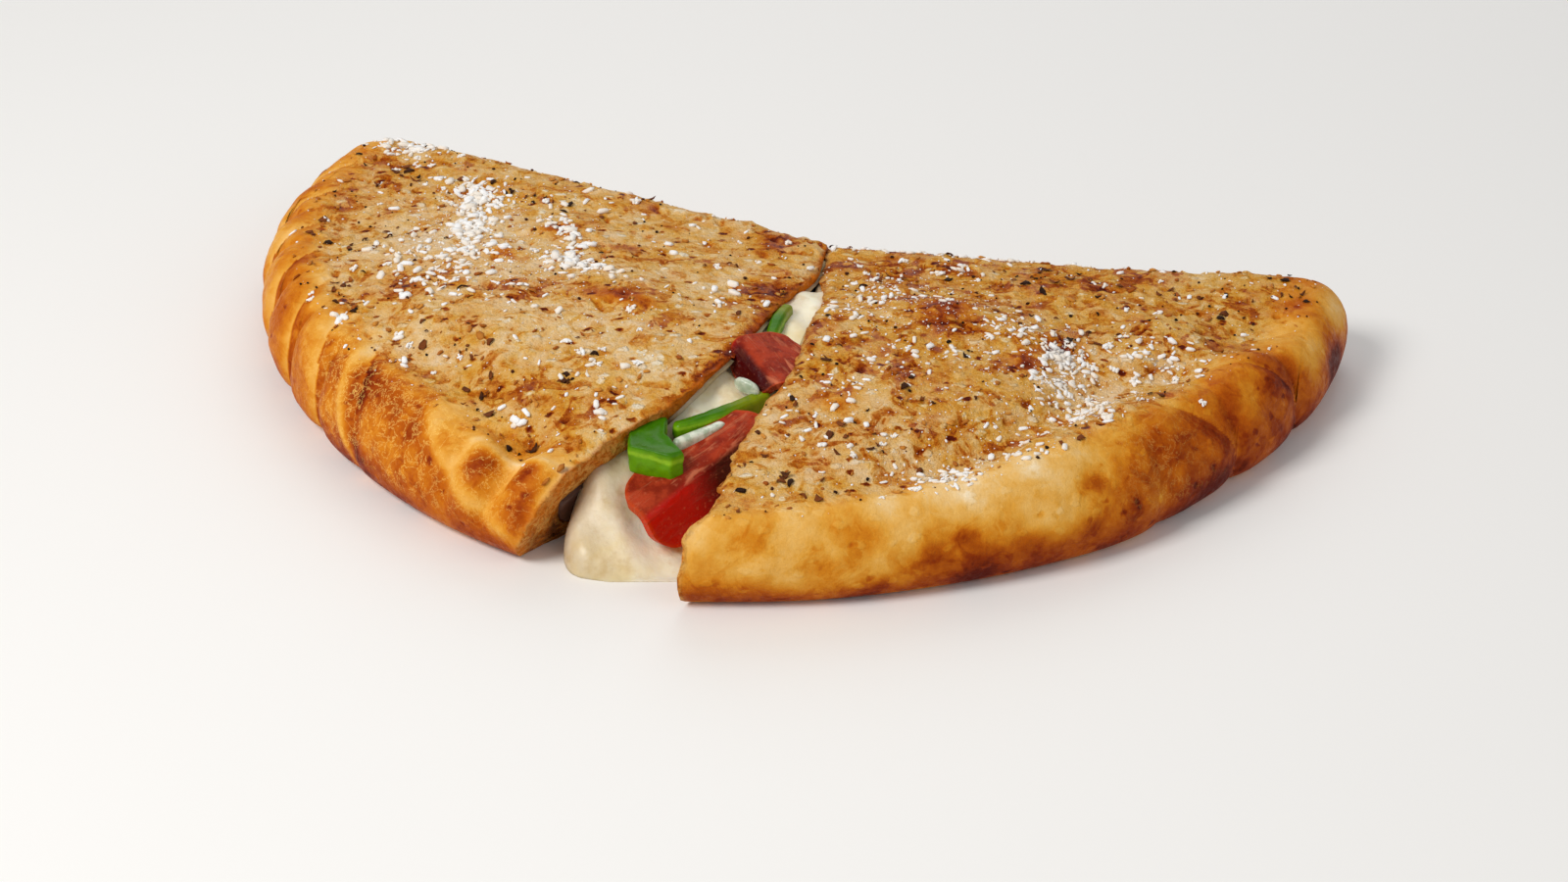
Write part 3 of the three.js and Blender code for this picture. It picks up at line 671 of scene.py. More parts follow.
def mottleGroup():
    # blotches about 0 at three sizes, each a share of Size in millimetres
    sizes = {"Broad": 1.0, "Middle": 0.3, "Fine": 0.09}
    group, graph, out = newGroup("mottle", ["Size"], sizes)
    given = graph.field("NodeGroupInput", None, "Size")
    where = graph.where()
    for name, size in sizes.items():
        scale = graph.math("DIVIDE", 1000.0 / size, given)
        inputs = {"Vector": where, "Scale": scale, "Detail": 4.0, "Roughness": 0.6}
        graph.feed(out, {name: graph.field("ShaderNodeTexNoise", inputs, "Fac") - 0.5})
    return group


mottle = mottleGroup()

crustLook = {
    "white": colour(252, 236, 206),
    "cream": colour(242, 206, 146),
    "pale": colour(236, 186, 102),
    "golden": colour(226, 164, 64),
    "orange": colour(212, 134, 30),
    "brown": colour(184, 94, 10),
    "dark": colour(144, 54, 2),
    "deep": colour(92, 20, 0),
    "powder": colour(255, 252, 250),
    "crumb": colour(226, 168, 88),
    "toastedCrumb": colour(184, 100, 22),
    "greased": colour(210, 114, 20),
    "redGrease": colour(176, 62, 10),
    # dark purple brown: torn crumb, partly painted shade
    "tornAndShaded": colour(92, 50, 32),
    "dusted": colour(245, 210, 166),
    "crackle": colour(248, 200, 104),
    # tint for the rim's own redder tone, and near the foot for painted warm bounced light
    "warmth": (1.0, 0.75, 0.32, 1.0),
}
crustStops = {"white": 0.0, "cream": 0.15, "pale": 0.30, "golden": 0.45, "orange": 0.58,
              "brown": 0.72, "dark": 0.86, "deep": 1.0}  # of how far the dough is baked


def doughMarks():
    # masks from 0 to 1: soft patches, round pores, raised lumps, fine light cracks
    group, graph, out = newGroup("doughMarks", [], ("Patch", "Pore", "Lump", "Crack"))
    where = graph.where()
    inputs = {"Vector": where, "Scale": 450.0, "Detail": 2.0}
    shift = graph.field("ShaderNodeTexNoise", inputs, "Color")
    shift = graph.vector("SUBTRACT", shift, (0.5, 0.5, 0.5))
    shift = graph.vector("SCALE", shift, 0.0022, "Scale")
    bent = graph.vector("MULTIPLY", graph.vector("ADD", where, shift), (0.65, 1.0, 1.0))
    patch = graph.range(graph.noise(8.0, 4.0, 0.6, 1.0, where), 0.51, 0.58)
    ridge = graph.noise(4.0, 6.0, 0.68, 0.4, where) - 0.5
    crack = graph.range(graph.math("ABSOLUTE", ridge), 0.018, 0.003)
    graph.feed(out, {"Patch": patch, "Crack": crack})
    for name, size, share, low, high in (("Pore", 2.6, 0.12, 0.44, 0.12),
                                         ("Lump", 2.8, 0.20, 0.44, 0.24)):
        cell = graph.add("ShaderNodeTexVoronoi", {"Vector": bent, "Scale": 1 / (size * mm)})
        number = Field(graph, cell.outputs["Color"])
        number = graph.field("ShaderNodeSeparateColor", {0: number})
        chosen = graph.math("LESS_THAN", number, share)
        distance = Field(graph, cell.outputs["Distance"])
        graph.feed(out, {name: graph.range(distance, low, high) * chosen})
    return group


doughGroup = doughMarks()


def bakedCrust():
    # a ramp over how far the dough is baked, with cracks, flour, powder and the cut's crumb
    material, graph, shader = newMaterial("bakedCrust")
    look = crustLook
    blotch = graph.group(mottle, Size=18.0)
    small = graph.group(mottle, Size=6.0)
    marks = graph.group(doughGroup)
    seasoned = graph.mask("seasoned")
    some = seasoned * 0.75 + 0.25
    baked = graph.mask("baked") + blotch["Broad"] * 0.8
    # Pores are painted darker, browned and partly painted shade in their hollows; lumps paler.
    for value, amount in ((blotch["Middle"], 0.65), (small["Middle"], 0.6),
                          (small["Fine"], 0.35), (marks["Patch"], 0.24),
                          (marks["Pore"], 0.6), (marks["Lump"], -0.3)):
        baked = baked + value * some * amount
    crack = marks["Crack"] * graph.mask("crackle")
    base = graph.ramp(baked, [(stop, look[name]) for name, stop in crustStops.items()])
    # The rim's own redder tone, and near the foot painted warm light bounced up from below.
    base = graph.mix(graph.mask("warmAndBounce"), base, look["warmth"], "MULTIPLY")
    base = graph.mix(crack * 0.7, base, look["crackle"])
    dusted = (graph.mask("dusted") + small["Broad"] * seasoned * 2.4).clamped()
    base = graph.mix(dusted * graph.range(baked, 0.75, 0.15), base, look["dusted"])
    powder = graph.range(graph.mask("powder") + graph.noise(1.3, 4.0, 0.72), 0.98, 1.1)
    base = graph.mix(powder * 0.9, base, look["powder"])
    cut = graph.mask("cutFace")
    toasting = graph.range(graph.noise(2.2, 4.0, 0.65, 0.6), 0.42, 0.6)
    crumb = graph.mix(toasting, look["crumb"], look["toastedCrumb"])
    wiped = graph.mask("greased") + small["Broad"]
    crumb = graph.mix(graph.range(wiped, 0.0, 0.5), crumb, look["greased"])
    crumb = graph.mix(graph.range(wiped, 0.6, 1.1), crumb, look["redGrease"])
    # torn crumb near the front foot, partly painted shade in the crevice by the cheese
    crumb = graph.mix(graph.mask("tornAndShaded"), crumb, look["tornAndShaded"])
    height = small["Fine"] * 0.5 + small["Middle"] * 0.9
    height = (height - marks["Pore"] * 0.4 + marks["Lump"] * 0.35) * some
    height = height + powder * 0.3 + cut * graph.noise(1.6, 3.0)
    oily = graph.range(graph.noise(9.0, 3.0, 0.6, 0.5), 0.52, 0.6)
    graph.feed(shader, {
        "Base Color": graph.mix(cut, base, crumb),
        "Roughness": (0.46 + small["Middle"] * 0.9 + powder * 0.3).clamped(),
        "Normal": graph.bump(height, 1.0, 0.0013),
        "Coat Weight": oily * seasoned * 0.25,
        "Coat Roughness": 0.25,
        "Specular IOR Level": 0.06,
    })
    return material


# Steps of the crusts' meshes, and their roughness in millimetres.
crustMesh = {
    "rows": 256,
    "topSteps": 318,
    "floorSteps": 38,
    "cutRows": 7,
    "pocketRows": 12,
    "jag": 0.8,
    "edgeRoll": 0.9,
    "jagSize": 3.2,
    "jagReach": 3.5,  # how far from the cut it fades out
    "rollReach": 1.6,
    "tear": 0.9,
    "tearSize": 2.6,
    "undulation": 0.7,
    "undulationSize": 12,
    "pucker": 0.3,
    "puckerSize": 3.0,
    "warp": 2.2,
    "warpSize": 4,
    "pitSize": 4.6,
    "pitShare": 0.26,  # of the cells
    "pitDepth": 0.85,
    "lumpSize": 5.5,
    "lumpShare": 0.34,
    "lumpHeight": 0.6,
    "topStretch": (5, 40, 80),  # a row and steps of it that are surely on the top
}


def crustRelief(half, u, v, p, upper):
    # broad and fine noise, bells for the blisters, round pits and round lumps
    make = crustMesh
    seed = half["seed"]
    angle = angleFromFold(u, v)
    fromRim = rimDistance(half, u, v)
    onTop = smooth(3, 14, p[..., 2]) * upper
    inner = smooth(8, 20, fromRim)
    broad = cloud(p, make["undulationSize"], 3, seed) * make["undulation"]
    fine = cloud(p, make["puckerSize"], 3, seed + 5) * make["pucker"]
    warp = cloud(p, make["warpSize"], 2, seed + 8) * make["warp"]
    far, number = cells(u + warp, v - warp, make["pitSize"], seed + 9)
    pits = (number < make["pitShare"]) * (1 - smooth(0.1, 0.25 + 0.9 * number, far)) * inner
    far, number = cells(u - warp, v - warp, make["lumpSize"], seed + 10)
    lumps = (number < make["lumpShare"]) * (1 - smooth(0.05, 0.3 + 0.6 * number, far)) * inner
    out = broad + fine * (0.4 + 0.6 * inner) + spots(u, v, half["blisters"])
    out = out + rimFolds(half, angle, p[..., 2], 1 - smooth(6, 20, fromRim))[1]
    out = out - make["pitDepth"] * pits + make["lumpHeight"] * lumps
    # The second value darkens the pits, browned and partly painted shade, and lightens the lumps.
    return out * onTop, (pits - 0.7 * lumps) * onTop


def gridNormals(p):
    # the cross product of the differences along and around the grid
    along = np.gradient(p, axis=0)
    around = np.roll(p, -1, axis=1) - np.roll(p, 1, axis=1)
    return unit(np.cross(around, along))


def bakedAmount(half, u, v, p, upper):
    # how far each point is baked: rim browned, the foot browned and darkened as painted shade, named
    # spots, creases pale
    angle = angleFromFold(u, v)
    fromRim = rimDistance(half, u, v)
    z = p[..., 2]
    seed = half["seed"]
    nearRim = 1 - smooth(6, 26, fromRim)
    uneven = cloud(p, 11, 2, seed + 21)
    baseLine, baseTone = half["base"]
    baseLine = baseLine + 6 * cloud(p, 16, 2, seed + 22)
    baked = half["tone"] + 0.07 * cloud(p, 22, 2, seed + 20)
    if half is leftHalf:
        baked = baked + nearRim * (0.19 + 0.12 * uneven)
    else:
        tipSide = 1 - smooth(46, 57, angle - 0.5 * np.maximum(0, 16 - z))
        patches = cloud(p, 14, 2, seed + 23) * (1 - tipSide)
        baked = baked + nearRim * (0.26 * tipSide - 0.04 + 0.1 * uneven + 0.3 * patches)
        # darker towards the bottom away from the tip: browned, and partly painted shade
        baked = baked + nearRim * 0.16 * (1 - smooth(3, 18, z)) * (1 - tipSide)
        baseLine = baseLine - 7 * smooth(70, 82, angle)
    for spotAngle, spotZ, wide, tall, amount in half["rimSpots"]:
        rimSpot = bell((angle - spotAngle) / wide) * bell((z - spotZ) / tall)
        baked = baked + amount * rimSpot * nearRim
    baked = baked + spots(u, v, half["browned"])
    # the foot drawn towards its tone: browned, and darkened as painted shade
    baked = baked + (baseTone - baked) * 0.9 * (1 - smooth(0.5, baseLine, z))
    # Each crease: pale on one side, own tone and painted highlight; darker on the other, painted shade.
    turn = 2 * np.pi * (angle + half["pleats"]["slant"] * fromRim) / half["pleats"]["spacing"]
    side = np.where(np.sin(turn) < 0, -0.32, 0.12) * half["creaseTone"]
    baked = baked + side * crease(half, angle, fromRim) * nearRim
    # the folds' tones: partly their own, partly painted highlight on raised and painted shade on sunk
    baked = baked + rimFolds(half, angle, z, nearRim)[0]
    under = 0.62 + 0.22 * cloud(p, 14, 3, seed + 30)
    below = (1 - smooth(0.2, 3, z)) * ~upper
    return baked * (1 - below) + under * below


def crustMasks(half, u, v, p, upper, pits, wall):
    # masks over the outer skin by the distance to the rim, the cut and the named spots, and
    # over the wall, which is the cut face and the pocket, a fixed value or the torn patch,
    # which is torn crumb partly in painted shade
    isLeft = half is leftHalf
    z = p[..., 2]
    fromRim = rimDistance(half, u, v)
    nearRim = 1 - smooth(6, 22, fromRim)
    atCorner = 6 * bell(u / 34) * (not isLeft)
    seasoned = smooth(12, 20, fromRim + atCorner + 3 * cloud(p, 8, 2, 44))
    seasoned = seasoned * smooth(-2, 6, v) * upper
    seasoned = seasoned * (1 - 0.8 * np.clip(1.6 * spots(u, v, half["blisters"][:3]), 0, 1))
    dusted = half["dustTone"] + spots(u, v, half["dust"]) + 0.22 * cloud(p, 7, 3, 47)
    baked = bakedAmount(half, u, v, p, upper)
    if isLeft:
        baked = baked + 0.3 * bell(u / 1.6) * smooth(20, 40, v) * (1 - smooth(104, 124, v))
        baked = baked + 0.5 * bell(u / 2.4) * bell((v - 86) / 20)
        greased = 0.4 + 0.7 * bell((v - 82) / 24) - 0.2 * smooth(106, 120, v)
        # Redder along the rim, its own colour, and warmer near the foot as painted bounced light.
        warmAndBounce = 0.42 * nearRim + 0.2 * nearRim * smooth(16, 2, z)
        warmAndBounce = warmAndBounce + 0.14 * (1 - smooth(24, 60, v)) * seasoned
    else:
        greased = 0.1 + 0 * v
        nearTip = 1 - smooth(34, 60, angleFromFold(u, v))
        # Warmer along the rim and at the tip, its own colour, and near the foot as painted bounced
        # light.
        warmAndBounce = nearRim * (0.1 + 0.2 * nearTip + 0.2 * smooth(12, 2, z))
    # Near the front foot of the left cut: torn crumb, partly painted shade against the cheese.
    atFront = bell((wall[..., 0] + 58) / 9) * bell((wall[..., 1] + 76) / 12) * isLeft
    tornAndShaded = smooth(-0.1, 0.25, cloud(wall, 3.4, 2, 45)) * atFront * smooth(11, 6, wall[..., 2])
    masks = {
        # the pits darker, browned and partly painted shade
        "baked": (baked + 0.2 * pits, 0.3),
        "crackle": (np.clip(spots(u, v, half["crackle"]), 0, 1) * upper, 0.0),
        "seasoned": (seasoned, 0.0),
        "powder": (0.6 * np.clip(spots(u, v, half["powder"]), 0, 1) * upper, 0.0),
        "dusted": (np.clip(dusted, 0, 0.8) * seasoned, 0.0),
        "cutFace": (bell(u / 0.6), 1.0),
        "greased": (greased, greased[0]),
        "warmAndBounce": (warmAndBounce, 0.0),
        "tornAndShaded": (0 * u, tornAndShaded),
    }
    ones = np.ones(wall.shape[:2])
    return {key: withPoles(np.concatenate([outer[::-1], ones * inner]))
            for key, (outer, inner) in masks.items()}


def crustPiece(half, material):
    # the outer skin, ragged and rolled in at the cut and raised along its normals, then the
    # torn cut face and the pocket's wall, as one closed skin
    make = crustMesh
    steps = (make["topSteps"], make["floorSteps"])
    u, v, upper = skinGrid(half, outerSkin, make["rows"], *steps)
    p = skinPoint(half, outerSkin, u, v, upper)
    direction = place(half, 1 + 0 * u, v, 0) - place(half, 0 * u, v, 0)
    jag = make["jag"] * cloud(p, make["jagSize"], 2, half["seed"] + 3) * bell(u / make["jagReach"])
    if half is rightHalf:
        ragged = 1.6 * cloud(p, 2.4, 2, 51) * bell(u / 3) * smooth(118, 127, v) * upper
        jag = jag + ragged * (1 - smooth(146, 153, v))
    p = p + direction * jag[..., None]
    lift, pits = crustRelief(half, u, v, p, upper)
    lift = lift - make["edgeRoll"] * bell(u / make["rollReach"]) * upper
    normal = gridNormals(p)
    row, first, last = make["topStretch"]
    if np.sum(normal[row, first:last, 2]) < 0:
        normal = -normal
    p = p + normal * lift[..., None]
    skin = pocketSkin(half)
    pocket = skinPoint(half, skin, *skinGrid(half, skin, make["pocketRows"], *steps))
    share = np.linspace(0, 1, make["cutRows"] + 2)[1:-1][:, None, None]
    face = p[0] * (1 - share) + pocket[0] * share
    tear = cloud(face, make["tearSize"], 2, half["seed"] + 4)[..., None] * direction[0]
    face = face + tear * make["tear"] * np.sin(np.pi * share)
    wall = np.concatenate([face, pocket])
    masks = crustMasks(half, u, v, p, upper, pits, wall)
    rings = np.concatenate([p[::-1], wall])
    addPiece(half["name"] + "_baked", closedTube(rings), material, [half["name"]], masks)


crustMaterial = bakedCrust()
crustPiece(leftHalf, crustMaterial)
crustPiece(rightHalf, crustMaterial)
print("crust done")

melt = {
    "rows": 170,
    "around": 150,
    "ripple": 0.5,
    "sag": 0.45,
    "proud": 0.7,
    "gap": 0.35,
    "floorLift": 4.6,
    "fill": (40, 90, 50),  # steps of a pocket's filling: along, over and under
}

# The cheese in the gap: [y, left x, right x, top, top beside the left half]
gapCheese = [(12, 6, 14, 19, 19), (4, 0, 16, 25, 25.5), (-16, -12, 12, 26, 27.5),
             (-30, -22, 10, 25.5, 27), (-48, -34, 6, 25.5, 27.6), (-60, -42, 0, 22.5, 24.5),
             (-70, -50.5, -4, 17.5, 19.5), (-82, -54, -8, 12.5, 13.5), (-89, -53.5, -12, 9, 9),
             (-94, -50, -17, 5, 5), (-96, -43, -24, 0.8, 0.8)]
# Swellings and hollows of its top: [x, y, half width, height].
cheeseLobes = [(-45, -76, 8, 3), (-23, -84, 13, -9), (-24, -64, 4.5, -2), (-15, -60, 4.5, -2.6),
               (-7, -54.5, 4, -2.2)]

# The foot of the left half's cut face: [-y, x]
leftCutFoot = [(7, -4), (22, -14), (40, -22.5), (57, -34), (71, -50), (78, -57.5), (86, -64)]


def gapMound():
    # sections across the gap, level below and a flattened round above, higher on the left
    rows, around = melt["rows"], melt["around"]
    first, last = gapCheese[0][0], gapCheese[-1][0]
    y = first + (last - first) * np.sin(np.pi / 2 * np.linspace(0, 1, rows))
    left, right, top, leftTop = (
        curveThrough([(-row[0], row[k]) for row in gapCheese], -y)[:, None] for k in (1, 2, 3, 4))
    turn = np.pi * np.arange(around) / (around / 2)
    s = np.cos(turn)[None, :]
    x = (left + right) / 2 + (right - left) / 2 * s
    yy = y[:, None] + 0 * x
    ripple = melt["ripple"] * np.sin(x * 0.55 + yy * 0.3) * smooth(0, 8, top)
    lobes = 0
    for lobeX, lobeY, width, height in cheeseLobes:
        lobes = lobes + height * bell((x - lobeX) / width) * bell((yy - lobeY) / width)
    power = np.where(s < 0, 7, 4)
    high = np.maximum(0.4, top + (leftTop - top) * smooth(0.2, -0.8, s) + ripple + lobes)
    z = high * np.sqrt(np.maximum(0, 1 - np.abs(s) ** power))
    cutX = curveThrough(leftCutFoot, -yy)
    floor = melt["floorLift"] * smooth(0, 2.5, cutX - x) * smooth(-86, -76, yy)
    z = np.where(turn[None, :] < np.pi, np.maximum(z, floor + 0.2), floor)
    p = np.stack([x, yy, z], axis=-1)
    soft = cloud(p * [1, 1, 0.5], 7, 3, 61) * melt["sag"] * smooth(0.5, 4, z)
    p[..., 2] = p[..., 2] + soft
    p = fromPlan(p)
    # Painted shadow of the left half on the cheese: 1 at its cut's foot, fading wider towards the front.
    wide = 8 + 18 * smooth(-56, -72, p[..., 1])
    fromCut = p[..., 0] - curveThrough(leftCutFoot, -p[..., 1])
    crustShadow = 1 - smooth(0, 1, (fromCut - 4 * smooth(-50, -66, p[..., 1])) / wide)
    return closedTube(p), withPoles(crustShadow)


def pocketFill(half):
    # what fills a pocket, a little proud of the cut
    skin = pocketSkin(half)
    gap = melt["gap"]
    skin = dict(skin, fold=skin["fold"] + gap, rim=skin["rim"] + gap,
                lift=skin["lift"] - gap, floor=skin["floor"] + gap)
    u, v, upper = skinGrid(half, skin, *melt["fill"])
    u = u - melt["proud"] * bell(u / 8)
    p = skinPoint(half, skin, u, v, upper)
    # The whole filling lies in painted shadow of the crust over it; the left one's front darker still.
    return closedTube(p), withPoles(1 + (half is leftHalf) * smooth(104, 118, v))


cheeseLook = {
    "cream": colour(240, 220, 170),
    "white": colour(252, 243, 218),
    "buttery": colour(218, 184, 118),
    # olive brown: painted shadow of the crust, with a little grease
    "oily": colour(150, 110, 42),
    # torn strands, partly painted shade in the crevice
    "tornAndShaded": colour(84, 50, 34),
}


def meltedCheese():
    # cream with buttery clouds, painted olive shadow of the crust beside and under it with a little
    # grease, darkest where torn, light going a little way in
    material, graph, shader = newMaterial("meltedCheese")
    look = cheeseLook
    out = graph.group(mottle, Size=18.0)
    base = graph.mix(graph.range(out["Broad"], -0.14, 0.16), look["white"], look["cream"])
    base = graph.mix(graph.range(out["Middle"], 0.02, 0.2) * 0.35, base, look["buttery"])
    # painted shadow beside and under the crust, mottled, in olive brown
    shade = graph.mask("crustShadow") + out["Middle"] * 0.8
    base = graph.mix((shade * 0.6).clamped(), base, look["oily"])
    # darkest where the shade runs above 1: torn strands and painted shade
    graph.feed(shader, {
        "Base Color": graph.mix(graph.range(shade, 1.1, 1.7), base, look["tornAndShaded"]),
        "Roughness": 0.42 + out["Middle"] * 0.4,
        "Normal": graph.bump(out["Middle"] + out["Fine"] * 0.3, 0.35, 0.001),
        "Specular IOR Level": 0.3,
        "Subsurface Weight": 0.3,
        "Subsurface Radius": (1.0, 0.85, 0.55),
        "Subsurface Scale": 0.003,
        "Coat Weight": 0.1,
        "Coat Roughness": 0.25,
    })
    return material


cheeseMaterial = meltedCheese()
cheeseParts = [gapMound(), pocketFill(leftHalf), pocketFill(rightHalf)]
addPiece("melted_cheese", joined([part for part, _ in cheeseParts]), cheeseMaterial,
         ["cheese"], {"crustShadow": np.concatenate([mask for _, mask in cheeseParts])})
print("cheese done")

# The crease is a point on it, and the middle and reach are along and across it.
slices = {
    "pepperoni_front": {
        "crease": (-35.3, -89, 13.6),
        "along": (0.705, 0.664, 0.254),
        "upper": (-0.68, 0.733, 0),
        "lower": (0.32, 0.02, -0.947),
        "middle": (20, -1),
        "reach": (20.5, 14),
        "thickness": 2.5,
        "bend": 2.5,
        "shadedFrom": (4, 28),
        "ragged": 0.4,
        "seed": 71,
    },
    "pepperoni_back": {
        "crease": (-12.35, -38.8, 32.3),
        "along": (0.52, -0.815, -0.248),
        "upper": (0.799, 0.568, -0.194),
        "lower": (-0.531, -0.083, -0.843),
        "middle": (7.5, 4),
        "reach": (9.6, 11),
        "thickness": 2.2,
        "bend": 1.6,
        "shadedFrom": (-8, 4),
        "ragged": 1,
        "seed": 83,
    },
}
sliceSteps = (64, 150)  # rings, and points round each


def bentPoints(item, p, q, offset):
    # p runs along the crease, q across it on a hyperbola, and the offset is square to both
    along, upper, lower = (np.array(item[k], float) for k in ("along", "upper", "lower"))
    reach = np.hypot(q, item["bend"])
    share = ((1 + q / reach) / 2)[..., None]
    across = upper * share - lower * (1 - share)
    normal = unit(np.cross(along, across))
    return (np.array(item["crease"]) + along * p[..., None]
            + upper * ((reach + q - item["bend"]) / 2)[..., None]
            + lower * ((reach - q - item["bend"]) / 2)[..., None]
            + normal * offset[..., None])


def bentSlice(item):
    # rings about the middle over the top, round a soft edge and back underneath
    rows, around = sliceSteps
    t = np.linspace(0.02, 0.98, rows)[:, None]
    turn = fullTurn(around)
    edge = np.clip((np.abs(t - 0.5) - 0.08) / 0.42, 0, 1)
    reach = 1 - 0.06 * edge ** 0.5 - 0.94 * edge
    side = np.sin(np.clip((0.5 - t) / 0.08, -1, 1) * np.pi / 2)
    ragged = 0.02 * np.sin(5 * turn + item["seed"]) + 0.012 * np.sin(11 * turn + 2)
    ragged = 1 + ragged * item["ragged"]
    a = item["middle"][0] + item["reach"][0] * reach * ragged * squared(np.cos(turn), 0.7)
    b = item["middle"][1] + item["reach"][1] * reach * ragged * squared(np.sin(turn), 0.7)
    side = side + 0 * a
    flat = np.stack([a, b, 0 * a], axis=-1)
    warp = 0.35 * cloud(flat, 9, 2, item["seed"])
    bumps = 0.16 * cloud(flat * [0.5, 1, 1], 2.2, 2, item["seed"] + 2) * side
    offset = item["thickness"] / 2 * side * (0.94 + 0.06 * edge) + warp * 0.6 + bumps
    p = fromPlan(bentPoints(item, a, b, offset))
    masks = {
        "along": withPoles(a),
        "across": withPoles(b),
        "rind": withPoles(smooth(0.94, 0.99, reach) + 0 * a),
        # far: 0 to 1 along the slice into its painted shade
        "far": withPoles(smooth(item["shadedFrom"][0], item["shadedFrom"][1], a)),
    }
    return closedTube(p), masks


sausageLook = {
    "brownRed": colour(176, 60, 30),
    "dark": colour(134, 34, 14),
    # bright: the lower face's red where lit; deep: its painted shade
    "bright": colour(196, 18, 4),
    "deep": colour(70, 2, 2),
    "fat": colour(214, 124, 88),
    "oil": colour(214, 74, 12),
}


def curedSausage():
    # matte brown red above the crease, bright red below fading along it into painted shade, fat streaks
    # along it
    material, graph, shader = newMaterial("curedSausage")
    look = sausageLook
    across = graph.mask("across")
    below = graph.range(across, 0.4, -1.2)
    stretched = {0: graph.mask("along") * 0.00022, 1: across * 0.001, 2: 0.0}
    where = graph.field("ShaderNodeCombineXYZ", stretched)
    streak = graph.range(graph.noise(2.2, 5.0, 0.62, 0.9, where), 0.50, 0.66)
    grainy = graph.group(mottle, Size=5.0)
    base = graph.mix(graph.range(grainy["Broad"], -0.12, 0.12), look["dark"], look["brownRed"])
    # the lower face bright red, fading into painted shade
    lit = graph.mix(graph.range(graph.mask("far"), 0.2, 0.95), look["bright"], look["deep"])
    base = graph.mix(below, base, lit)
    base = graph.mix(streak * (0.75 - below * 0.68), base, look["fat"])
    fleck = graph.range(graph.noise(1.3, 2.0), 0.62, 0.7)
    base = graph.mix(fleck * 0.22, base, look["fat"])
    graph.feed(shader, {
        "Base Color": graph.mix(graph.mask("rind") * 0.4, base, look["oil"]),
        "Roughness": 0.5 - below * 0.26,
        "Normal": graph.bump(grainy["Middle"] + streak * 0.6, 0.6, 0.0006),
        "Coat Weight": below * 0.15,
        "Coat Roughness": 0.2,
        "Specular IOR Level": 0.1,
    })
    return material


sausageMaterial = curedSausage()
for name, item in slices.items():
    skin, masks = bentSlice(item)
    addPiece(name + "_slice", skin, sausageMaterial, [name], masks)

# Each path is three points along the middle of the strip.
strips = {
    "pepper_strip": {
        "path": [(-28.6, -64.8, 22.6), (-17.5, -59.3, 23), (-5.6, -50.8, 24.4)],
        "height": 5.6,
        "thickness": 3.8,
    },
    "pepper_back_strip": {
        "path": [(-5.6, -27.5, 25.6), (-3.6, -18, 26.6), (-0.6, -9.5, 26.4)],
        "height": 5.4,
        "thickness": 3.4,
    },
    "onion_front": {
        "path": [(-28.6, -70, 21.4), (-22.8, -67.2, 22), (-16, -62.6, 23)],
        "height": 4.2,
        "thickness": 2.8,
    },
    "onion_back": {
        "path": [(-14, -49, 27.6), (-11, -51.2, 27.4), (-8, -53, 26.8)],
        "height": 3.6,
        "thickness": 2,
    },
}

chunk = {
    "outline": [(-38.8, -76), (-39, -68), (-35, -63.5), (-29.8, -63.4), (-30, -71),
                (-25.4, -78.4), (-28.6, -80.4)],
    "centre": (-33.5, -72.5),
    "floor": 18.8,
    "top": 26.5,
    "edge": 1.2,
    "tilt": 0.08,
    "steps": (56, 140),  # rings, and points round each
}
stripSteps = (70, 48)


def bentStrip(item, seed):
    # a squared ellipse carried along a parabola through three points, its ends rounded
    rows, around = stripSteps
    a, b, c = (np.array(point, float) for point in item["path"])
    s = (1 - np.cos(np.pi * np.linspace(0.012, 0.988, rows)[:, None])) / 2
    line = a * (2 * s - 1) * (s - 1) + b * 4 * s * (1 - s) + c * s * (2 * s - 1)
    tangent = unit(np.gradient(line, axis=0))
    across = unit(np.stack([-tangent[:, 1], tangent[:, 0], 0 * tangent[:, 0]], axis=-1))
    length = np.linalg.norm(c - a)
    end = np.minimum(s, 1 - s) * length
    taper = (0.82 + 0.18 * np.sin(np.pi * s)) * roundOff(end / 1.6)
    turn = fullTurn(around)
    wide = squared(np.cos(turn), 0.6) * item["thickness"] / 2 * taper
    tall = squared(np.sin(turn), 0.6) * item["height"] / 2 * taper
    p = line[:, None, :] + across[:, None, :] * wide[..., None]
    p = p + np.array([0, 0, 1.0]) * tall[..., None]
    p = p + unit(p - line[:, None, :]) * (0.16 * cloud(p, 2.4, 2, seed))[..., None]
    p = fromPlan(p)
    lift = tall / (item["height"] / 2)
    return closedTube(p), {"lift": withPoles(lift), "along": withPoles(s + 0 * tall)}


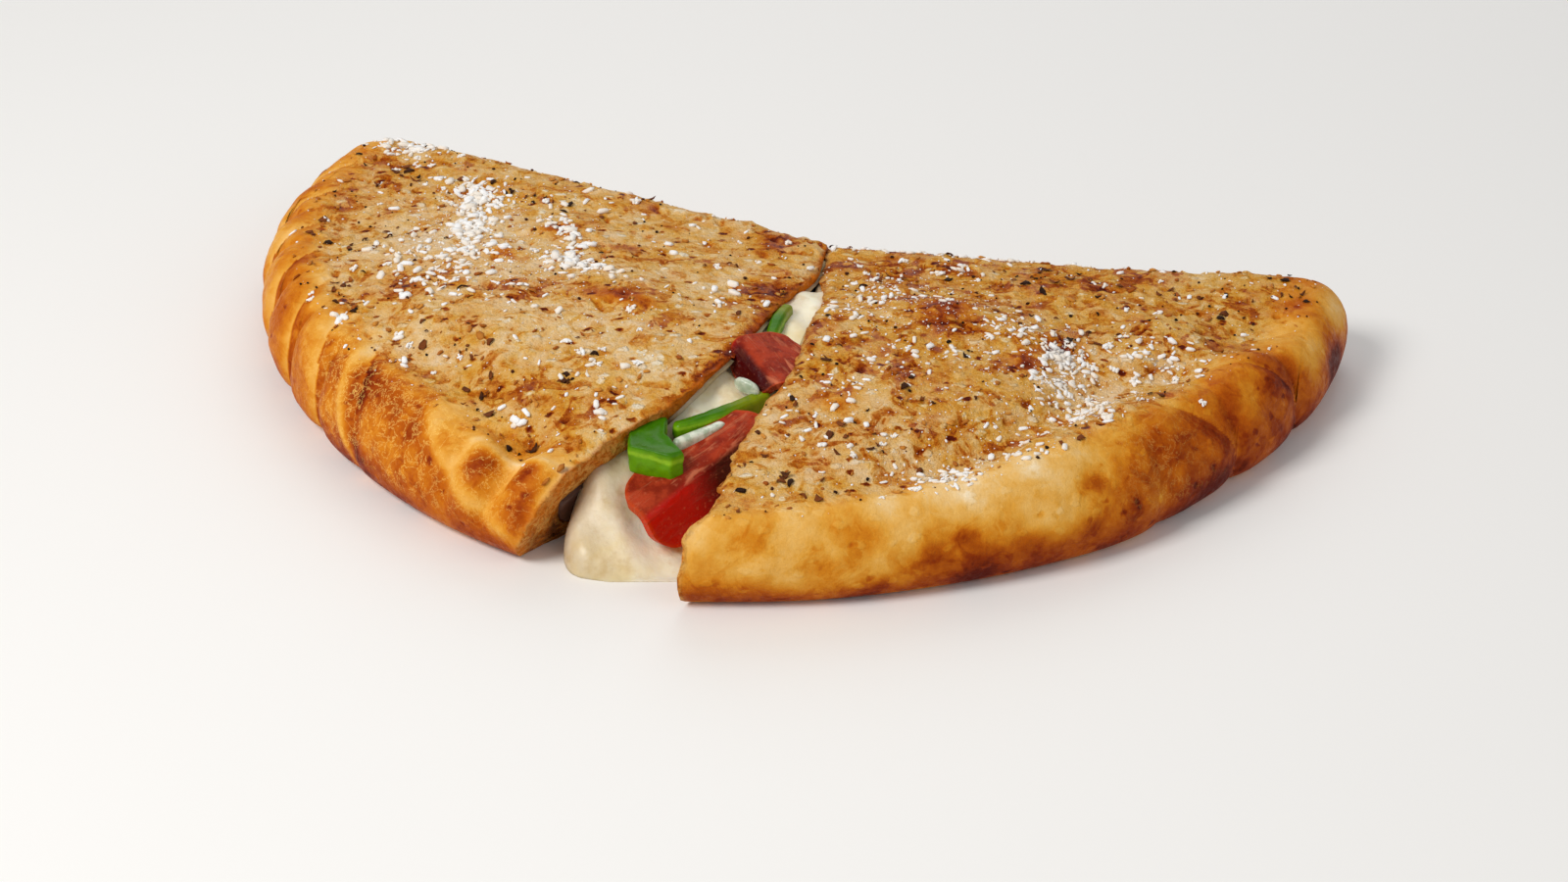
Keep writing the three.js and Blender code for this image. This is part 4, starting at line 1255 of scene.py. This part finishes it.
def pepperChunk():
    # the outline scaled from its centre, up one side and down the other, edges rounded
    rows, around = chunk["steps"]
    corners = np.array(chunk["outline"], float)
    ring = np.concatenate([corners, corners[:1]])
    step = np.linalg.norm(np.diff(ring, axis=0), axis=1)
    at = np.concatenate([[0], np.cumsum(step)])
    where = np.linspace(0, at[-1], around, endpoint=False)
    outline = np.stack([np.interp(where, at, ring[:, k]) for k in (0, 1)], axis=-1)
    for _ in range(3):
        outline = (np.roll(outline, 1, axis=0) + 2 * outline + np.roll(outline, -1, axis=0)) / 4
    centre = np.array(chunk["centre"])
    t = np.linspace(0, 1, rows)
    top, floor, edge = chunk["top"], chunk["floor"], chunk["edge"]
    share = np.interp(t, [0, 0.3, 0.42, 0.58, 0.7, 1], [0.02, 0.86, 1, 1, 0.86, 0.02])
    round1 = np.sqrt(np.maximum(0, 1 - np.clip((share - 0.86) / 0.14, 0, 1) ** 2))
    z = np.where(t < 0.5, top - edge + edge * round1, floor + edge - edge * round1)
    z = np.where((t > 0.42) & (t < 0.58), np.interp(t, [0.42, 0.58], [top - edge, floor + edge]), z)
    p = centre + (outline[None] - centre) * share[:, None, None]
    zz = z[:, None] + 0 * p[..., 0]
    zz = zz - chunk["tilt"] * (chunk["outline"][2][1] - p[..., 1])
    p = np.concatenate([p, zz[..., None]], axis=-1)
    dish = -0.5 * bell((share[:, None] - 0.4) / 0.4) * (t[:, None] < 0.5)
    p[..., 2] = p[..., 2] + dish + 0.22 * cloud(p, 3, 2, 91)
    p[..., :2] = p[..., :2] + (0.25 * cloud(p, 2.6, 2, 92))[..., None]
    p = fromPlan(p)
    lift = (z[:, None] - (top + floor) / 2) / ((top - floor) / 2) + 0 * zz
    return closedTube(p), {"lift": withPoles(lift), "along": withPoles(0 * zz)}


pepperLook = {
    "skinGreen": colour(58, 112, 6),
    "lime": colour(98, 152, 4),
    # painted highlight along the sides
    "highlightBand": colour(160, 206, 44),
    "yellowGreen": colour(136, 142, 6),
}


def greenPepper():
    # dark skin above, lime flesh on the sides with a painted highlight band, and fine streaks
    material, graph, shader = newMaterial("greenPepper")
    look = pepperLook
    out = graph.group(mottle, Size=7.0)
    side = graph.mask("lift") + out["Broad"] * 0.5
    base = graph.mix(graph.range(side, 0.7, 0.98), look["lime"], look["skinGreen"])
    # a painted highlight along the sides, a little below the top
    highlightBand = graph.range(side, 0.2, 0.42) * graph.range(side, 0.72, 0.5)
    base = graph.mix(highlightBand * 0.6, base, look["highlightBand"])
    base = graph.mix(graph.range(graph.mask("along"), 0.45, 0.8) * 0.8, base,
                     look["yellowGreen"])
    streaks = graph.range(out["Middle"], 0.0, 0.2) * 0.35
    graph.feed(shader, {
        "Base Color": graph.mix(streaks, base, look["skinGreen"]),
        "Roughness": 0.24 + out["Middle"] * 0.3,
        "Normal": graph.bump(out["Middle"] + out["Fine"] * 0.6, 0.35, 0.0005),
        "Subsurface Weight": 0.1,
        "Subsurface Radius": (0.5, 1.0, 0.2),
        "Subsurface Scale": 0.001,
        "Coat Weight": 0.08,
        "Coat Roughness": 0.15,
        "Specular IOR Level": 0.1,
    })
    return material


onionLook = {
    "body": colour(222, 226, 208),
    "clear": colour(170, 186, 160),
}


def cookedOnion():
    # pale, with clearer veins
    material, graph, shader = newMaterial("cookedOnion")
    out = graph.group(mottle, Size=6.0)
    veins = graph.range(out["Middle"], -0.15, 0.15)
    graph.feed(shader, {
        "Base Color": graph.mix(veins, onionLook["body"], onionLook["clear"]),
        "Roughness": 0.25 + out["Middle"] * 0.3,
        "Normal": graph.bump(out["Middle"], 0.4, 0.0005),
        "Subsurface Weight": 0.35,
        "Subsurface Radius": (1.0, 1.0, 0.8),
        "Subsurface Scale": 0.002,
        "Coat Weight": 0.4,
    })
    return material


pepperMaterial = greenPepper()
onionMaterial = cookedOnion()
for index, (name, item) in enumerate(strips.items()):
    skin, masks = bentStrip(item, 101 + index)
    isOnion = name.startswith("onion")
    addPiece(name + "_cut", skin, onionMaterial if isOnion else pepperMaterial,
             [name], masks)
skin, masks = pepperChunk()
addPiece("pepper_chunk_cut", skin, pepperMaterial, ["pepper_chunk"], masks)
print("filling done")


def onCrust(half, u, v):
    # points of the dressed top crust and the directions square to it
    def surface(a, b):
        p = skinPoint(half, outerSkin, a, b, True)
        lift, _ = crustRelief(half, a, b, p, np.ones_like(a, dtype=bool))
        return p + lift[:, None] * [0, 0, 1]

    h = 0.5
    normal = unit(np.cross(surface(u + h, v) - surface(u - h, v),
                           surface(u, v + h) - surface(u, v - h)))
    return surface(u, v), normal * np.sign(normal[:, 2:3])


def pebbleShape(rings, around, power):
    # a round of unit radius as rings between two poles, squared off by a power under 1
    a = np.pi * np.arange(1, rings + 1)[:, None] / (rings + 1)
    b = fullTurn(around)
    grid = np.stack([np.sin(a) * np.cos(b), np.sin(a) * np.sin(b), np.cos(a) + 0 * b], axis=-1)
    points, quads, triangles = closedTube(grid, np.array([[0, 0, 1.0], [0, 0, -1.0]]))
    return squared(points, power) if power != 1 else points, quads, triangles


def scattered(shape, centres, normals, sizes, random, rough, curl=0.0):
    # one shape turned at random about each normal, scaled, and made uneven
    points, quads, triangles = shape
    count = len(centres)
    turn = random.uniform(0, 2 * np.pi, count)
    side = unit(np.cross(normals, [0.3, 0.95, 0.05]))
    other = np.cross(normals, side)
    first = side * np.cos(turn)[:, None] + other * np.sin(turn)[:, None]
    second = np.cross(normals, first)
    local = points[None] * (1 + rough * random.uniform(-1, 1, (count, len(points), 1)))
    bend = curl * random.uniform(-1, 1, (count, 1)) * (local[..., 0] ** 2 - 0.4)
    local = local * sizes[:, None, :]
    local[..., 2] = local[..., 2] + bend * sizes[:, None, 0]
    p = centres[:, None] + first[:, None] * local[..., 0:1] + second[:, None] * local[..., 1:2]
    p = p + normals[:, None] * local[..., 2:3]
    step = (np.arange(count) * len(points))[:, None, None]
    tone = np.repeat(random.uniform(0, 1, count), len(points))
    return (p.reshape(-1, 3), (quads[None] + step).reshape(-1, 4),
            (triangles[None] + step).reshape(-1, 3)), tone


def scatterPlaces(half, random, clusters, even):
    # those of the clusters, then the even ones over the whole half, short of its edges
    area = 150
    u, v = [], []
    for cu, cv, length, width, turn, count in clusters:
        a = math.radians(turn)
        du = random.normal(0, 0.75, count) * length
        dv = random.normal(0, 0.75, count) * width
        u.append(cu + du * math.cos(a) - dv * math.sin(a))
        v.append(cv + du * math.sin(a) + dv * math.cos(a))
    u.append(random.uniform(0, area, even))
    v.append(random.uniform(2, area + 6, even))
    u, v = np.concatenate(u), np.concatenate(v)
    inner = curveThrough(half["shoulder"], angleFromFold(u, v)) * 0.75
    kept = (rimDistance(half, u, v) > inner) & (v > 3.5) & (u > 0.5)
    return u[kept], v[kept]


# The larger grains that are part of the dough's own solid, as seeded there.
grains = {
    "count": 42,  # on each half
    "largest": 2.1,  # half length
    "smallest": 1,
    "width": 0.72,  # share of the length
    "height": 0.62,  # share of the length
    "sunk": 0.3,
    "nearSpot": 0.6,  # share that lies round a spot
    "spread": 17,  # how far round it
    "area": (8, 145),  # where the others lie
    "fromEdge": 9,
    "fromCut": 6,
    "apart": 0.7,
    "shards": 9,  # pieces that each is dressed with
    "shape": (3, 6, 0.6),
    "rough": 0.25,
    "seed": 9,
    "slot": "cheese",
}


def seededRandom(seed):
    # a small generator: multiply, shift and mix 32 bits at each call
    state = seed
    full = 0xffffffff

    def draw():
        nonlocal state
        state = (state + 0x6d2b79f5) & full
        t = ((state ^ (state >> 15)) * (1 | state)) & full
        t = ((t + (((t ^ (t >> 7)) * (61 | t)) & full)) & full) ^ t
        return ((t ^ (t >> 14)) & full) / (full + 1)

    return draw


def grainPlaces(half):
    # the largest first, most of them round a spot, none touching another
    draw = seededRandom(half["grainSeed"])
    placed = []
    for _ in range(4000):
        if len(placed) == grains["count"]:
            break
        share = len(placed) / grains["count"]
        size = grains["largest"] + (grains["smallest"] - grains["largest"]) * share
        low, high = grains["area"]
        u = low + (high - low) * draw()
        v = low + (high - low) * draw()
        if draw() < grains["nearSpot"]:
            places = half["grainSpots"]
            spot = places[int(draw() * len(places))]
            u = spot[0] + grains["spread"] * (2 * draw() - 1)
            v = spot[1] + grains["spread"] * (2 * draw() - 1)
        draw()  # its turn, which the shards don't follow
        clear = all(math.hypot(q[0] - u, q[1] - v) > q[2] + size + grains["apart"]
                    for q in placed)
        depth = inside(half, outerSkin, np.array([u]), np.array([v]))[0]
        if u > grains["fromCut"] and depth > grains["fromEdge"] and clear:
            placed.append((u, v, size))
    return np.array(placed)


# Loose bits by kind: a shape's rings, points round each and power, half lengths as [least,
# range, power], widths as a share of them, heights as a share of what tallBy names, and
# clusters as [u, v, half length, half width, turn in degrees, count]. Others lie evenly.
looseKinds = {
    "cheese_crumbs": {
        "material": "gratedCheese", "slot": "cheese", "shape": (3, 6, 0.6),
        "length": (0.45, 1.0, 1.8), "width": (0.3, 0.65), "height": (0.5, 0.8), "tallBy": "width",
        "rough": 0.22, "even": 150, "seed": 5, "larger": {"crust_left": 1.3},
        "crust_left": [
            (92, 33, 7, 5, -30, 130), (84, 46, 11, 3, -45, 70), (132, 13, 9, 6, 0, 100),
            (45, 63, 7, 3.5, -10, 100), (54, 48, 7, 3, -40, 60), (78, 57, 10, 4, -45, 60),
            (70, 70, 9, 6, -45, 50), (65, 86, 14, 10, -20, 80), (8, 60, 5, 7, 0, 16),
            (84, 76, 12, 6, -30, 30), (104, 29, 6, 4, 0, 16), (14, 115, 12, 12, 0, 16),
            (79, 112, 1.5, 2.5, 0, 10), (56, 123, 1.5, 1.5, 0, 5), (62, 114, 1.2, 1.2, 0, 4),
            (20, 131, 1.5, 1.5, 0, 6)],
        "crust_right": [
            (67, 66, 6, 5, 0, 90), (67, 81, 6, 10, 10, 90), (91, 62, 10, 5, 0, 60),
            (78, 96, 9, 3, 0, 40), (45, 126, 8, 5, -10, 60), (62, 110, 6, 8, 10, 40),
            (20, 38, 9, 7, 0, 40), (12, 58, 7, 7, 0, 40), (52, 63, 9, 8, 0, 50), (15, 98, 4, 3, 0, 14),
            (36, 20, 5, 4, 0, 16), (12, 112, 14, 12, 0, 20), (34, 82, 16, 12, 0, 40),
            (32, 8, 26, 3, 0, 70), (76, 88, 3, 6, 0, 40)],
    },
    # fine white specks: grated cheese, and painted highlights for the oily crust's small glints
    "cheese_dust_and_glints": {
        "material": "gratedCheese", "slot": "cheese", "shape": (2, 4, 1),
        "length": (0.12, 0.28, 2.5), "width": (0.4, 0.9), "height": 0.5, "tallBy": "length",
        "rough": 0.25, "even": 900, "seed": 15,
        "crust_left": [
            (86, 44, 20, 16, -30, 700), (60, 66, 26, 16, -30, 500), (20, 100, 20, 30, 0, 300)],
        "crust_right": [(70, 76, 22, 22, 0, 700), (24, 52, 24, 26, 0, 700), (44, 116, 20, 14, 0, 300)],
    },
    "herb_flakes": {
        "material": "driedHerb", "slot": "green_pepper", "shape": (3, 8, 1),
        "length": (0.5, 1.1, 2), "width": (0.3, 0.75), "height": 0.16, "tallBy": "none",
        "rough": 0.5, "curl": 0.7, "sunk": -0.6, "even": 60, "seed": 6,
        "crust_left": [
            (70, 27, 12, 3, 0, 12), (114, 76, 4, 3, 0, 4), (130, 66, 5, 4, 0, 5), (83, 108, 4, 3, 0, 5),
            (89, 100, 4, 4, 0, 5), (24, 103, 5, 5, 0, 4), (62, 131, 2, 1, 0, 2), (33, 128, 5, 5, 0, 8),
            (44, 115, 8, 6, 0, 9), (17, 139, 5, 3, 0, 5), (20, 118, 6, 5, 0, 6),
            (100, 70, 14, 12, 0, 10), (110, 30, 12, 8, 0, 10)],
        "crust_right": [
            (16, 29, 4, 3, 0, 5), (58, 27, 5, 6, 0, 9), (75, 55, 3, 3, 0, 4), (98, 29, 8, 5, 0, 9),
            (110, 36, 6, 6, 0, 5), (94, 83, 3, 2, 0, 4), (7, 87, 4, 4, 0, 4), (36, 98, 6, 3, 0, 5),
            (22, 118, 8, 5, 0, 7), (9, 110, 8, 8, 0, 8), (8, 130, 8, 6, 0, 9), (22, 138, 4, 4, 0, 4),
            (46, 137, 4, 2, 0, 4), (60, 22, 24, 8, 0, 16), (34, 122, 4, 4, 0, 4), (122, 18, 6, 6, 0, 7)],
    },
    "pepper_specks": {
        "material": "crackedPepper", "slot": "green_pepper", "shape": (2, 5, 1),
        "length": (0.25, 0.4, 2), "width": 0.8, "height": 0.6, "tallBy": "length", "rough": 0.2,
        "even": 170, "seed": 7,
    },
    "toasted_bits": {
        "material": "toastedBits", "slot": "crust", "shape": (3, 6, 1), "length": (0.45, 0.9, 2),
        "width": (0.3, 0.7), "height": 0.3, "tallBy": "length", "rough": 0.4, "curl": 0.3,
        "sunk": 0.1, "even": 420, "seed": 8,
    },
}

looseLooks = {
    "gratedCheese": (colour(250, 240, 226), colour(255, 255, 255), 0.5),
    "driedHerb": (colour(44, 22, 8), colour(128, 66, 24), 0.6),
    "crackedPepper": (colour(24, 12, 6), colour(86, 40, 16), 0.6),
    "toastedBits": (colour(164, 84, 16), colour(212, 142, 56), 0.45),
}


def looseMaterial(name, first, second, rough):
    # each bit takes its tone between two colours, with a little mottling
    material, graph, shader = newMaterial(name)
    out = graph.group(mottle, Size=3.0)
    tone = graph.range(graph.mask("tone") + out["Broad"], 0.1, 0.9)
    graph.feed(shader, {
        "Base Color": graph.mix(tone, first, second),
        "Roughness": rough,
        "Normal": graph.bump(out["Fine"], 0.5, 0.0004),
        "Specular IOR Level": 0.12,
    })
    return material


def looseSizes(item, random, count):
    # half lengths, most of them near the least, and widths and heights as fixed or drawn shares
    def share(part):
        return random.uniform(*part, count) if isinstance(part, tuple) else part

    least, spread, power = item["length"]
    length = least + spread * random.uniform(0, 1, count) ** power
    width = length * share(item["width"])
    by = {"length": length, "width": width, "none": 1 + 0 * length}[item["tallBy"]]
    return np.stack([length, width, by * share(item["height"])], axis=-1)


def looseBits(half, item, random):
    u, v = scatterPlaces(half, random, item.get(half["name"], []), item["even"])
    centres, normals = onCrust(half, u, v)
    size = looseSizes(item, random, len(u)) * item.get("larger", {}).get(half["name"], 1)
    centres = centres + normals * size[:, 2:3] * (1 - 2 * item.get("sunk", 0.2))
    return scattered(pebbleShape(*item["shape"]), centres, normals, size, random, item["rough"],
                     item.get("curl", 0.0))


def grainShards(half, item, random):
    # shards heaped on each fused grain, close round its middle
    placed = np.repeat(grainPlaces(half), item["shards"], axis=0)
    count = len(placed)
    away = placed[:, 2] * 0.55 * random.uniform(0, 1, count) ** 0.7
    turn = random.uniform(0, 2 * np.pi, count)
    centres, normals = onCrust(half, placed[:, 0] + away * np.cos(turn),
                               placed[:, 1] + away * np.sin(turn))
    length = placed[:, 2] * random.uniform(0.22, 0.5, count)
    size = length[:, None] * [1, 0.5, 0.4]
    centres = centres + normals * (size[:, 2] * random.uniform(0.2, 1.6, count))[:, None]
    normals = unit(normals + 0.35 * random.uniform(-1, 1, (count, 3)))
    return scattered(pebbleShape(*item["shape"]), centres, normals, size, random, item["rough"])


def addBits(name, item, make, material):
    # the same kind of bit on both halves, as one piece
    random = np.random.RandomState(item["seed"])
    skins, tones = zip(*[make(half, item, random) for half in (leftHalf, rightHalf)])
    addPiece(name, joined(skins), material, masks={"tone": np.concatenate(tones)})


looseMaterials = {name: looseMaterial(name, *look) for name, look in looseLooks.items()}
for name, item in looseKinds.items():
    addBits(name, item, looseBits, looseMaterials[item["material"]])
addBits("cheese_grains", grains, grainShards, looseMaterials["gratedCheese"])
print("toppings done")

# The camera looks at the target from the front, from this far off in millimetres.
stage = {
    "floorHalf": 3.0,
    "floorColour": colour(246, 245, 243),
    "target": (-3.25, -31, 0),
    "distance": 770,
    "elevation": 30,
    "lens": 70,
}


def addFloor():
    half = stage["floorHalf"]
    mesh = bpy.data.meshes.new("floor")
    corners = [(-half, -half, 0), (half, -half, 0), (half, half, 0), (-half, half, 0)]
    mesh.from_pydata(corners, [], [(0, 1, 2, 3)])
    material, graph, shader = newMaterial("paleFloor")
    graph.feed(shader, {"Base Color": stage["floorColour"], "Roughness": 0.6})
    mesh.materials.append(material)
    addObject("floor", mesh)


def addLight(name, power, size, place, aim, tint=(1, 1, 1)):
    light = bpy.data.lights.new(name, "AREA")
    light.energy = power
    light.size = size
    light.color = tint
    lamp = addObject(name, light)
    lamp.location = place
    lamp.rotation_euler = (Vector(aim) - Vector(place)).to_track_quat("-Z", "Y").to_euler()


def addCamera():
    camera = bpy.data.cameras.new("camera")
    camera.lens = stage["lens"]
    camera.sensor_width = 36
    camera.clip_start = 0.01
    item = addObject("camera", camera)
    x, y, z = stage["target"]
    tilt = math.radians(stage["elevation"])
    item.location = (x * mm, (y - stage["distance"] * math.cos(tilt)) * mm,
                     (z + stage["distance"] * math.sin(tilt)) * mm)
    item.rotation_euler = (math.pi / 2 - tilt, 0, 0)
    bpy.context.scene.camera = item


addFloor()
addLight("key", 11, 0.5, (-0.75, -0.55, 0.95), (0, 0, 0), (1, 0.98, 0.95))
addLight("fill", 2.2, 1.0, (0.9, -0.7, 0.7), (0, 0, 0))
addLight("back", 3, 0.9, (0.1, 1.0, 0.8), (0, 0, 0))
addCamera()

world = bpy.data.worlds.new("studio")
world.use_nodes = True
Graph(world.node_tree).feed(world.node_tree.nodes["Background"],
                            {"Color": (1, 1, 1, 1), "Strength": 0.36})
bpy.context.scene.world = world
view = bpy.context.scene.view_settings
view.view_transform = "Standard"
view.look = "None"
